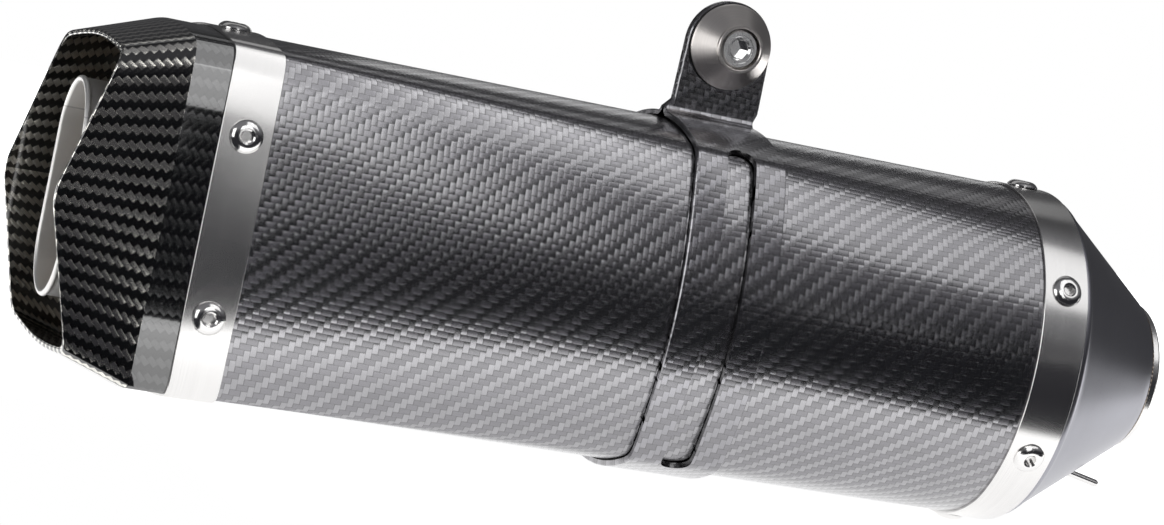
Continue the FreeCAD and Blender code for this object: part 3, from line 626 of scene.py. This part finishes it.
class Nodes:
    """Small helper that builds one material's node tree."""

    def __init__(self, name):
        self.material = bpy.data.materials.new(name)
        self.material.use_nodes = True
        self.tree = self.material.node_tree
        self.tree.nodes.clear()
        self.output = self.tree.nodes.new("ShaderNodeOutputMaterial")

    def node(self, kind, inputs=None, **settings):
        made = self.tree.nodes.new(kind)
        for key, value in settings.items():
            setattr(made, key, value)
        for key, value in (inputs or {}).items():
            self.feed(made.inputs[key], value)
        return made

    def feed(self, socket, value):
        if isinstance(value, bpy.types.NodeSocket):
            self.tree.links.new(value, socket)
        else:
            socket.default_value = value

    def math(self, operation, first, second=None, third=None):
        made = self.tree.nodes.new("ShaderNodeMath")
        made.operation = operation
        for socket, value in zip(made.inputs, (first, second, third)):
            if value is not None:
                self.feed(socket, value)
        return made.outputs[0]

    def ramp(self, factor, stops, smooth=False):
        made = self.tree.nodes.new("ShaderNodeValToRGB")
        made.color_ramp.interpolation = "EASE" if smooth else "LINEAR"
        elements = made.color_ramp.elements
        while len(elements) < len(stops):
            elements.new(0.5)
        for element, (place, colour) in zip(elements, stops):
            element.position = place
            element.color = grey(colour)
        self.feed(made.inputs[0], factor)
        return made.outputs[0]

    def mix(self, factor, first, second):
        made = self.tree.nodes.new("ShaderNodeMix")
        made.data_type = "RGBA"
        self.feed(made.inputs[0], factor)
        self.feed(made.inputs[6], grey(first))
        self.feed(made.inputs[7], grey(second))
        return made.outputs[2]

    def multiply(self, colour, factor):
        made = self.tree.nodes.new("ShaderNodeMix")
        made.data_type = "RGBA"
        made.blend_type = "MULTIPLY"
        made.inputs[0].default_value = 1.0
        self.feed(made.inputs[6], grey(colour))
        self.feed(made.inputs[7], factor)
        return made.outputs[2]

    def lerp(self, factor, first, second):
        made = self.tree.nodes.new("ShaderNodeMix")
        made.data_type = "FLOAT"
        self.feed(made.inputs[0], factor)
        self.feed(made.inputs[2], first)
        self.feed(made.inputs[3], second)
        return made.outputs[0]

    def noise(self, vector, scale, detail=3.0, roughness=0.5):
        made = self.node("ShaderNodeTexNoise", {"Vector": vector, "Scale": scale, "Detail": detail,
                                               "Roughness": roughness})
        return made.outputs["Fac"]

    def combine(self, x, y, z=0.0):
        return self.node("ShaderNodeCombineXYZ", {0: x, 1: y, 2: z}).outputs[0]

    def separate(self, vector):
        return self.node("ShaderNodeSeparateXYZ", {0: vector}).outputs

    def uv(self):
        return self.node("ShaderNodeUVMap", uv_map="metres").outputs[0]

    def object_place(self):
        return self.node("ShaderNodeTexCoord").outputs["Object"]

    def bump(self, height, distance, strength=1.0):
        return self.node("ShaderNodeBump", {"Height": height, "Distance": distance,
                                            "Strength": strength}).outputs[0]

    def tangent(self):
        return self.node("ShaderNodeTangent", direction_type="UV_MAP", uv_map="metres").outputs[0]

    def scaled(self, value, factor):
        return self.math("MULTIPLY", value, factor)

    def principled(self, **inputs):
        shader = self.node("ShaderNodeBsdfPrincipled")
        for key, value in inputs.items():
            self.feed(shader.inputs[key.replace("_", " ")], value)
        self.tree.links.new(shader.outputs[0], self.output.inputs[0])
        return shader


def grey(value):
    """A colour socket, a grey number or an (r, g, b) as something a colour input takes."""
    if isinstance(value, bpy.types.NodeSocket):
        return value
    if isinstance(value, (int, float)):
        return (value, value, value, 1.0)
    return tuple(value) + (1.0,) if len(value) == 3 else value


def twill(n, u, v, turn):
    """2x2 twill cloth from a place in metres, turned by an angle.

    Returns whether the crossing tows are on top, the surface height, one number for each tow,
    the place p and q in tows along both directions, and a painted shade factor for the colour,
    darker at each tow's sides and where it dives under the next tow.
    """
    cosine, sine = math.cos(turn) / TOW, math.sin(turn) / TOW
    p = n.math("ADD", n.scaled(u, cosine), n.scaled(v, sine))
    q = n.math("SUBTRACT", n.scaled(v, cosine), n.scaled(u, sine))
    column, row = n.math("FLOOR", p), n.math("FLOOR", q)
    in_column, in_row = n.math("FRACT", p), n.math("FRACT", q)
    step = n.math("FLOORED_MODULO", n.math("SUBTRACT", row, column), TWILL_REPEAT)
    crossing = n.math("LESS_THAN", step, 1.5)
    across = n.lerp(crossing, n.math("SUBTRACT", in_row, 0.5), n.math("SUBTRACT", in_column, 0.5))
    along_cross = n.math("SUBTRACT", n.math("ADD", in_row, step), 1.0)
    along_main = n.math("SUBTRACT", n.math("ADD", in_column, 2.0), step)
    along = n.lerp(crossing, along_main, along_cross)
    dome = n.scaled(n.math("POWER", n.math("ABSOLUTE", across), 2.0), TOW_DOME)
    dive = n.scaled(n.math("POWER", n.math("ABSOLUTE", along), 3.0), TOW_DIVE)
    height = n.math("SUBTRACT", n.math("SUBTRACT", 1.0, dome), dive)
    number = n.lerp(crossing, n.math("ADD", row, 0.37), n.math("ADD", column, 0.71))
    # painted shade in the grooves: the colour darkens towards each tow's sides and ends
    side_room = n.math("SUBTRACT", 0.5, n.math("ABSOLUTE", across))
    end_room = n.math("SUBTRACT", 1.0, n.math("ABSOLUTE", along))
    side_painted_shade = n.math("MINIMUM", n.math("MULTIPLY_ADD", side_room, 8.0, 0.50), 1.0)
    end_painted_shade = n.math("MINIMUM", n.math("MULTIPLY_ADD", end_room, 4.0, 0.22), 1.0)
    return crossing, height, number, p, q, n.math("MULTIPLY", side_painted_shade, end_painted_shade)


def carbon(name, turn, main_base, crossing_base, roughness, anisotropy, coat_ior,
           coat_roughness, depth, coat_depth, painted_shade_from=None, metallic=1.0):
    """Carbon cloth under a clear coat: two families of tows, each with its own anisotropy.

    Where x is past the given station of the cap's land, the crossing tows are painted nearly black:
    painted shade that takes their bright rows off the land.
    """
    n = Nodes(name)
    uv = n.separate(n.uv())
    drift_u = n.noise(n.combine(uv[0], uv[1]), 45.0, 2.0)
    drift_v = n.noise(n.combine(n.math("ADD", uv[0], 3.7), uv[1]), 40.0, 2.0)
    u = n.math("ADD", uv[0], n.scaled(n.math("SUBTRACT", drift_u, 0.5), TOW_WANDER))
    v = n.math("ADD", uv[1], n.scaled(n.math("SUBTRACT", drift_v, 0.5), TOW_WANDER))
    crossing, height, number, p, q, groove_painted_shade = twill(n, u, v, turn)
    strands_cross = n.noise(n.combine(n.scaled(p, 9.0), n.scaled(q, 0.35)), 1.0, 2.0)
    strands_main = n.noise(n.combine(n.scaled(q, 9.0), n.scaled(p, 0.35), 5.0), 1.0, 2.0)
    strands = n.lerp(crossing, strands_main, strands_cross)
    per_tow = n.node("ShaderNodeTexWhiteNoise", {"W": number},
                     noise_dimensions="1D").outputs["Value"]
    tone = n.math("ADD", n.scaled(strands, 0.35), n.math("ADD", n.scaled(per_tow, 0.20), 0.78))
    # painted shade on the cap's land: the crossing tows are painted nearly black there
    if painted_shade_from is not None:
        land_painted_shade = n.math("GREATER_THAN", n.separate(n.object_place())[0], painted_shade_from)
        crossing_base = n.mix(land_painted_shade, crossing_base, 0.05)
    colour = n.mix(crossing, main_base, crossing_base)
    # the colour carries painted shade in the grooves between tows, besides the tows' own tone
    colour_with_painted_shade = n.multiply(colour, n.math("MULTIPLY", tone, groove_painted_shade))
    surface = n.math("ADD", height, n.scaled(strands, 0.06))
    quarter = turn / (2 * math.pi)
    rotation = n.lerp(crossing, 0.25 + quarter, quarter)
    rough = n.math("ADD", roughness - 0.05, n.scaled(strands, 0.1))
    n.principled(Base_Color=colour_with_painted_shade, Metallic=metallic, Roughness=rough,
                 Normal=n.bump(surface, depth), Anisotropic=anisotropy,
                 Anisotropic_Rotation=rotation, Tangent=n.tangent(), Coat_Weight=1.0,
                 Coat_Roughness=coat_roughness, Coat_IOR=coat_ior,
                 Coat_Normal=n.bump(height, coat_depth))
    return n.material


def brushed(name, base, roughness, anisotropy=0.6, depth=0.01 * MM):
    """Brushed sheet steel whose lines run round the ring."""
    n = Nodes(name)
    uv = n.separate(n.uv())
    fine = n.noise(n.combine(n.scaled(uv[0], 9000.0), n.scaled(uv[1], 60.0)), 1.0, 3.0)
    broad = n.noise(n.combine(n.scaled(uv[0], 900.0), n.scaled(uv[1], 12.0)), 1.0, 2.0)
    smudge = n.noise(n.combine(uv[0], uv[1]), 30.0, 4.0)
    streak = n.math("ADD", n.scaled(fine, 0.6), n.scaled(broad, 0.4))
    colour = n.multiply(base, n.math("ADD", 0.86, n.scaled(streak, 0.22)))
    rough = n.math("ADD", n.math("ADD", roughness - 0.10, n.scaled(streak, 0.12)),
                   n.scaled(smudge, 0.08))
    n.principled(Base_Color=colour, Metallic=1.0, Roughness=rough,
                 Normal=n.bump(streak, depth, 0.6), Anisotropic=anisotropy, Tangent=n.tangent())
    return n.material


def turned(name, base, roughness, centre, axis, pitch, depth):
    """Lathe-turned metal: fine rings round an axis through centre."""
    n = Nodes(name)
    place = n.node("ShaderNodeVectorMath", {0: n.object_place(), 1: centre}, operation="SUBTRACT")
    parts = n.separate(place.outputs[0])
    others = [parts[index] for index in range(3) if index != axis]
    squares = [n.math("MULTIPLY", part, part) for part in others]
    radius = n.math("SQRT", n.math("ADD", squares[0], squares[1]))
    along = parts[axis]
    run = n.math("DIVIDE", n.math("ADD", radius, along), pitch)
    rings = n.noise(n.combine(run, n.scaled(radius, 40.0)), 1.0, 3.0, 0.6)
    cloud = n.noise(n.object_place(), 220.0, 3.0)
    tone = n.math("ADD", 0.80, n.math("ADD", n.scaled(rings, 0.28),
                                      n.scaled(cloud, 0.08)))
    colour = n.multiply(base, tone)
    rough = n.math("ADD", roughness - 0.06, n.scaled(rings, 0.16))
    n.principled(Base_Color=colour, Metallic=1.0, Roughness=rough,
                 Normal=n.bump(rings, depth, 0.7))
    return n.material


def cut_edge(name, base):
    """Cut edge of a laminate: pale, with fine layers."""
    n = Nodes(name)
    place = n.object_place()
    layers = n.noise(place, 2200.0, 2.0, 0.6)
    colour = n.mix(layers, tuple(part * 0.75 for part in base), base)
    rough = n.math("ADD", 0.34, n.scaled(layers, 0.2))
    n.principled(Base_Color=colour, Metallic=0.5, Roughness=rough,
                 Normal=n.bump(layers, 0.02 * MM, 0.5))
    return n.material


def coated(name, base, roughness):
    """Satin ceramic coating with a fine orange-peel grain."""
    n = Nodes(name)
    place = n.object_place()
    grain = n.noise(place, 2600.0, 2.0, 0.6)
    cloud = n.noise(place, 60.0, 4.0)
    colour = n.mix(n.math("ADD", n.scaled(cloud, 0.7), n.scaled(grain, 0.3)),
                   tuple(part * 0.85 for part in base), tuple(part * 1.15 for part in base))
    rough = n.math("ADD", roughness, n.math("MULTIPLY", n.math("SUBTRACT", grain, 0.5), 0.16))
    n.principled(Base_Color=colour, Metallic=0.95, Roughness=rough,
                 Normal=n.bump(grain, 0.01 * MM, 0.5), Coat_Weight=0.25, Coat_Roughness=0.3)
    return n.material


def plain_metal(name, base, roughness, grain_scale=900.0, grain=0.12):
    """Clean metal with a fine grain in its colour and gloss."""
    n = Nodes(name)
    place = n.object_place()
    fine = n.noise(place, grain_scale, 3.0, 0.6)
    cloud = n.noise(place, 70.0, 4.0)
    blend = n.math("ADD", n.scaled(fine, 0.5), n.scaled(cloud, 0.5))
    colour = n.mix(blend, tuple(part * 0.82 for part in base), base)
    rough = n.math("ADD", roughness - grain / 2, n.scaled(fine, grain))
    n.principled(Base_Color=colour, Metallic=1.0, Roughness=rough,
                 Normal=n.bump(fine, 0.01 * MM, 0.5))
    return n.material


def fibre(name, base, scale):
    """Wool and knitted wire: tangled fibres, with painted shade darkening the gaps between them."""
    n = Nodes(name)
    place = n.object_place()
    warp = n.node("ShaderNodeTexNoise", {"Vector": place, "Scale": scale * 0.3}).outputs["Color"]
    moved = n.node("ShaderNodeVectorMath", {0: place, 1: warp}, operation="ADD").outputs[0]
    strands = n.node("ShaderNodeTexWave", {
        "Vector": moved, "Scale": scale * 0.12, "Distortion": 18.0, "Detail": 3.0,
        "Detail Scale": 3.0}).outputs["Fac"]
    fine = n.noise(place, scale, 4.0, 0.7)
    height = n.math("ADD", n.scaled(strands, 0.5), n.scaled(fine, 0.5))
    # painted shade: the colour darkens where the fibre height is low, in the gaps
    colour = n.mix(height, tuple(part * 0.45 for part in base), base)
    n.principled(Base_Color=colour, Roughness=0.9, Normal=n.bump(height, 0.8 * MM, 0.8),
                 Sheen_Weight=0.3)
    return n.material


def rubber(name):
    """Matte black rubber."""
    n = Nodes(name)
    place = n.object_place()
    fine = n.noise(place, 1400.0, 3.0, 0.6)
    colour = n.mix(fine, 0.010, 0.028)
    rough = n.math("ADD", 0.62, n.scaled(fine, 0.2))
    n.principled(Base_Color=colour, Roughness=rough, Normal=n.bump(fine, 0.05 * MM, 0.6))
    return n.material


def weld(name):
    """Stacked ripples with straw and blue heat colours."""
    n = Nodes(name)
    place = n.object_place()
    parts = n.separate(place)
    angle = n.math("ARCTAN2", parts[2], parts[1])
    ripple = n.math("SINE", n.scaled(angle, 110.0))
    cloud = n.noise(place, 260.0, 3.0)
    tint = n.ramp(cloud, [(0.3, (0.20, 0.17, 0.16)), (0.5, (0.42, 0.33, 0.24)),
                          (0.7, (0.30, 0.31, 0.38))])
    n.principled(Base_Color=tint, Metallic=1.0, Roughness=0.42,
                 Normal=n.bump(ripple, 0.15 * MM, 0.8))
    return n.material


def mouth_steel(name):
    """Satin tube steel, near white at the lip and browner and darker further in, with faint seam
    lines.
    """
    n = Nodes(name)
    place = n.object_place()
    parts = n.separate(place)
    depth = n.math("DIVIDE", n.math("SUBTRACT", parts[0], TUBE_LO.x), TUBE_HI.x - TUBE_LO.x)
    streak = n.noise(n.combine(n.scaled(parts[0], 60.0), n.scaled(parts[1], 2500.0),
                               n.scaled(parts[2], 2500.0)), 1.0, 3.0)
    cloud = n.noise(place, 45.0, 4.0)
    # darker and browner the further in from the lip
    tint = n.ramp(n.math("ADD", depth, n.math("MULTIPLY", n.math("SUBTRACT", cloud, 0.5), 0.25)),
                  [(0.0, (0.97, 0.96, 0.94)), (0.15, (0.90, 0.87, 0.83)), (0.4, (0.74, 0.67, 0.59)),
                   (0.7, (0.40, 0.33, 0.27)), (1.0, (0.16, 0.13, 0.12))], True)
    seam_distance = n.math("ABSOLUTE", n.math("SUBTRACT", parts[2], SEAM_HEIGHT))
    seam = n.math("LESS_THAN", seam_distance, SEAM_HALF_WIDTH)
    colour = n.mix(n.scaled(seam, 0.35), tint, 0.25)
    rough = n.math("ADD", 0.38, n.scaled(streak, 0.2))
    n.principled(Base_Color=colour, Metallic=1.0, Roughness=rough,
                 Normal=n.bump(streak, 0.01 * MM, 0.5))
    return n.material


# ---- dressing the frame -------------------------------------------------------------------------

def dress(obj, *materials):
    """Gives an object its materials, in the order of its faces' material indices."""
    obj.data.materials.clear()
    for material in materials:
        obj.data.materials.append(material)


def add_piece(obj, body, slot, nodes, *materials):
    """A rebuilt piece: it rides on a body and stands in for the CAD nodes."""
    dress(obj, *materials)
    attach(obj, body)
    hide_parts(*nodes)
    return obj


BODY = "muffler"
sleeve_cloth = carbon("sleeve_carbon", 0.0, (0.135, 0.13, 0.145), (0.25, 0.245, 0.26), 0.22, 0.85,
                      2.25, 0.19, 0.08 * MM, 0.04 * MM)
strap_cloth = carbon("strap_carbon", 0.0, (0.13, 0.125, 0.14), (0.22, 0.215, 0.235), 0.22, 0.85,
                     2.25, 0.19, 0.08 * MM, 0.03 * MM)
# painted light: the leaves' cloth is a paler, less metallic copy of the strap's cloth, so the
# leaves look more brightly lit than the loop
leaf_painted_light_cloth = carbon("leaf_carbon_painted_light", 0.0, (0.20, 0.195, 0.21), (0.30, 0.295, 0.31), 0.30, 0.80,
                    2.0, 0.25, 0.08 * MM, 0.04 * MM, metallic=0.30)
# the cap's cloth has painted shade on its land, past the crease
cap_cloth = carbon("cap_carbon", math.radians(-45), (0.012, 0.012, 0.012), (0.78, 0.76, 0.70),
                   0.22, 0.92, 2.4, 0.06, 0.12 * MM, 0.004 * MM, CREASE_X)
band_metal = brushed("band_steel", (0.80, 0.79, 0.78), 0.24)
cone_coat = coated("cone_coated", (0.34, 0.34, 0.375), 0.31)

add_piece(sleeve_shell(), BODY, "sleeve_carbon", ["outer_sleeve"], sleeve_cloth)
add_piece(end_cap_shell(), BODY, "cap_carbon", ["outlet_end_cap"], cap_cloth)
add_piece(band_shell("outlet_band_sheet", BAND_OUT_LO, BAND_OUT_HI), BODY, "band_steel",
          ["outlet_band"], band_metal)
add_piece(band_shell("inlet_band_sheet", BAND_IN_LO, BAND_IN_HI), BODY, "band_steel",
          ["inlet_band"], band_metal)
add_piece(cone_shell(), BODY, "cone_coated", ["inlet_cone"], cone_coat)
add_piece(outlet_mouth(), BODY, "tube_steel", ["outlet_tube"], mouth_steel("mouth_steel"))
add_piece(strap_body(), BODY, "strap_carbon", ["mount_strap"], strap_cloth,
          cut_edge("strap_edge", (0.50, 0.49, 0.50)), leaf_painted_light_cloth)

hub = (BOLT_X, 0.0, BOLT_Z)
steel_sheet = plain_metal("core_steel", (0.55, 0.53, 0.50), 0.38)
weld_bead = weld("weld_steel")
CARRIED = {
    "outlet_band_rivets": plain_metal("rivet_steel", (0.88, 0.87, 0.86), 0.16, 1800.0, 0.08),
    "outlet_bulkhead": steel_sheet,
    "outlet_tube_weld": weld_bead,
    "inlet_bulkhead": steel_sheet,
    "inlet_socket": turned("socket_steel", (0.86, 0.85, 0.84), 0.20, (0.0, 0.0, 0.0), 0, 0.2 * MM,
                           0.01 * MM),
    "inlet_weld": weld_bead,
    "perforated_core": steel_sheet,
    "core_slip_ring": fibre("knitted_wire", (0.55, 0.54, 0.52), 1500.0),
    "steel_wool_wrap": fibre("steel_wool", (0.42, 0.41, 0.40), 900.0),
    "packing_wool": fibre("glass_wool", (0.80, 0.77, 0.66), 500.0),
    "strap_liner": rubber("liner_rubber"),
    "rubber_washer": rubber("washer_rubber"),
    "conical_washer": turned("washer_alloy", (0.80, 0.76, 0.73), 0.30, hub, 1, 0.22 * MM,
                             0.02 * MM),
    "hanger_bolt": plain_metal("bolt_steel", (0.97, 0.97, 0.97), 0.17, 2500.0, 0.05),
    "far_bush": turned("bush_alloy", (0.72, 0.71, 0.70), 0.30, hub, 1, 0.22 * MM, 0.02 * MM),
    "spring_hooks": plain_metal("hook_steel", (0.90, 0.89, 0.88), 0.16, 1500.0, 0.1),
    "hook_welds": weld_bead,
}
CARRIED["inlet_band_rivets"] = CARRIED["outlet_band_rivets"]
for node_name, material in CARRIED.items():
    dress(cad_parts[node_name], material)


# ---- studio -------------------------------------------------------------------------------------

FLOOR_Z = -64.5 * MM
FLOOR_FAR, FLOOR_SIDE = 1.6, 2.0
FLOOR_STEP_X = -0.372
FLOOR_GLOW = 1.85


def studio_floor():
    """Pale floor that fades into the pale surroundings away from the muffler.

    Its front edge steps back left of the outlet cap and slants back to the right, which sets what
    the muffler's lower faces reflect.
    """
    mesh = bpy.data.meshes.new("studio_floor")
    outline = ((-FLOOR_SIDE, -0.04), (FLOOR_STEP_X, -0.04), (FLOOR_STEP_X, -0.18), (0.5, 0.0),
               (FLOOR_SIDE, 0.0), (FLOOR_SIDE, FLOOR_FAR), (-FLOOR_SIDE, FLOOR_FAR))
    corners = [(x, y, FLOOR_Z) for x, y in outline]
    mesh.from_pydata(corners, [], [tuple(range(len(corners)))])
    obj = bpy.data.objects.new("studio_floor", mesh)
    bpy.context.scene.collection.objects.link(obj)
    n = Nodes("floor_paint")
    parts = n.separate(n.object_place())
    along = n.math("DIVIDE", n.math("ADD", parts[0], 0.2), 2.0)
    apart = n.math("MAXIMUM", parts[1], n.math("MULTIPLY", parts[1], -2.2))
    away = n.math("SQRT", n.math("ADD", n.math("MULTIPLY", along, along),
                                 n.math("MULTIPLY", apart, apart)))
    fade = n.ramp(away, [(0.08, 0.5), (0.36, 1.0)], True)
    mottle = n.noise(n.object_place(), 3.0, 4.0)
    shader = n.principled(Base_Color=n.mix(mottle, 0.86, 0.90), Roughness=0.85)
    glow = n.node("ShaderNodeEmission", {"Color": grey(1.0), "Strength": FLOOR_GLOW})
    mixer = n.node("ShaderNodeMixShader", {0: fade})
    n.tree.links.new(shader.outputs[0], mixer.inputs[1])
    n.tree.links.new(glow.outputs[0], mixer.inputs[2])
    n.tree.links.new(mixer.outputs[0], n.output.inputs[0])
    dress(obj, n.material)


def area_light(name, place, target, size, power):
    data = bpy.data.lights.new(name, "AREA")
    data.shape = "RECTANGLE"
    data.size, data.size_y = size
    data.energy = power
    obj = bpy.data.objects.new(name, data)
    obj.location = place
    direction = Vector(target) - Vector(place)
    obj.rotation_euler = direction.to_track_quat("-Z", "Y").to_euler()
    bpy.context.scene.collection.objects.link(obj)


def studio_world():
    """Pale to the camera and a dim room to every other ray.

    The room's front, behind the camera, brightens with height, and its far side is even.
    """
    world = bpy.data.worlds.new("studio")
    bpy.context.scene.world = world
    world.use_nodes = True
    tree = world.node_tree
    tree.nodes.clear()
    make, link = tree.nodes.new, tree.links.new

    def as_share(component):
        """A direction's component, which goes from -1 to 1, as 0 to 1."""
        half = make("ShaderNodeMath")
        half.operation = "MULTIPLY_ADD"
        half.inputs[1].default_value = 0.5
        half.inputs[2].default_value = 0.5
        link(component, half.inputs[0])
        return half.outputs[0]

    def ramp(factor, *stops):
        made = make("ShaderNodeValToRGB")
        for element, (place, colour) in zip(made.color_ramp.elements, stops):
            element.position, element.color = place, colour
        link(factor, made.inputs[0])
        return made.outputs[0]

    direction = make("ShaderNodeSeparateXYZ")
    link(make("ShaderNodeTexCoord").outputs["Generated"], direction.inputs[0])
    front_room = ramp(as_share(direction.outputs[2]),
                      (0.54, (0.02, 0.02, 0.024, 1)), (0.72, (0.18, 0.18, 0.19, 1)))
    far_share = ramp(as_share(direction.outputs[1]), (0.42, (0, 0, 0, 1)), (0.60, (1, 1, 1, 1)))
    room = make("ShaderNodeMix")
    room.data_type = "RGBA"
    link(far_share, room.inputs[0])
    link(front_room, room.inputs[6])
    room.inputs[7].default_value = (0.06, 0.06, 0.063, 1)
    dim, pale = make("ShaderNodeBackground"), make("ShaderNodeBackground")
    link(room.outputs[2], dim.inputs[0])
    pale.inputs[0].default_value = (1.0, 1.0, 1.0, 1)
    mixer = make("ShaderNodeMixShader")
    link(make("ShaderNodeLightPath").outputs["Is Camera Ray"], mixer.inputs[0])
    link(dim.outputs[0], mixer.inputs[1])
    link(pale.outputs[0], mixer.inputs[2])
    link(mixer.outputs[0], make("ShaderNodeOutputWorld").inputs[0])


def studio_camera():
    """Long lens, a little above the muffler and behind its outlet, rolled as the photograph is."""
    yaw, pitch, roll = math.radians(21.41), math.radians(4.94), math.radians(12.15)
    distance = 1.1994
    shift_right, shift_up = 0.1992, -0.0413
    forward = Vector((math.sin(yaw) * math.cos(pitch), math.cos(yaw) * math.cos(pitch),
                      -math.sin(pitch)))
    level = Vector((math.cos(yaw), -math.sin(yaw), 0.0))
    upright = level.cross(forward)
    right = level * math.cos(roll) + upright * math.sin(roll)
    up = upright * math.cos(roll) - level * math.sin(roll)
    data = bpy.data.cameras.new("photo_camera")
    data.sensor_width = 36.0
    data.lens = 100.3
    camera = bpy.data.objects.new("photo_camera", data)
    camera.matrix_world = Matrix((
        (right.x, up.x, -forward.x, 0), (right.y, up.y, -forward.y, 0),
        (right.z, up.z, -forward.z, 0), (0, 0, 0, 1)))
    camera.location = -right * shift_right - up * shift_up - forward * distance
    bpy.context.scene.collection.objects.link(camera)
    bpy.context.scene.camera = camera


bpy.context.scene.view_settings.view_transform = "Standard"
studio_floor()
studio_world()
studio_camera()
# name, place, target, size and power of each soft box
LIGHTS = (
    ("low_softbox", (-0.15, -1.05, 0.375), (-0.15, 0.0, 0.0), (0.38, 0.50), 0.9),
    ("left_softbox", (-0.21, -1.05, 0.035), (-0.21, 0.0, 0.035), (0.15, 0.15), 0.08),
    ("tab_card", (0.266, -1.05, 0.075), (-0.18, 0.0, 0.08), (0.065, 0.065), 0.0115),
    ("main_softbox", (-0.01, -0.74, 1.01), (-0.01, 0.0, 0.0), (0.58, 1.05), 1.9),
    ("right_softbox", (0.53, -0.73, 0.99), (0.2, 0.0, 0.0), (0.7, 0.90), 1.9),
    ("side_softbox", (-1.4, -0.55, 0.15), (-0.2, 0.0, 0.05), (0.6, 0.8), 3.0),
    ("overhead", (-0.2, 0.60, 1.0), (-0.2, 0.1, 0.0), (1.6, 0.5), 0.8),
    ("rear_strip", (0.30, 1.15, 0.38), (-0.1, 0.0, 0.06), (0.5, 0.22), 0.22),
    ("cap_strip", (-0.44, -1.05, 0.45), (-0.38, 0.0, 0.0), (0.15, 0.35), 0.6),
)
for light in LIGHTS:
    area_light(*light)
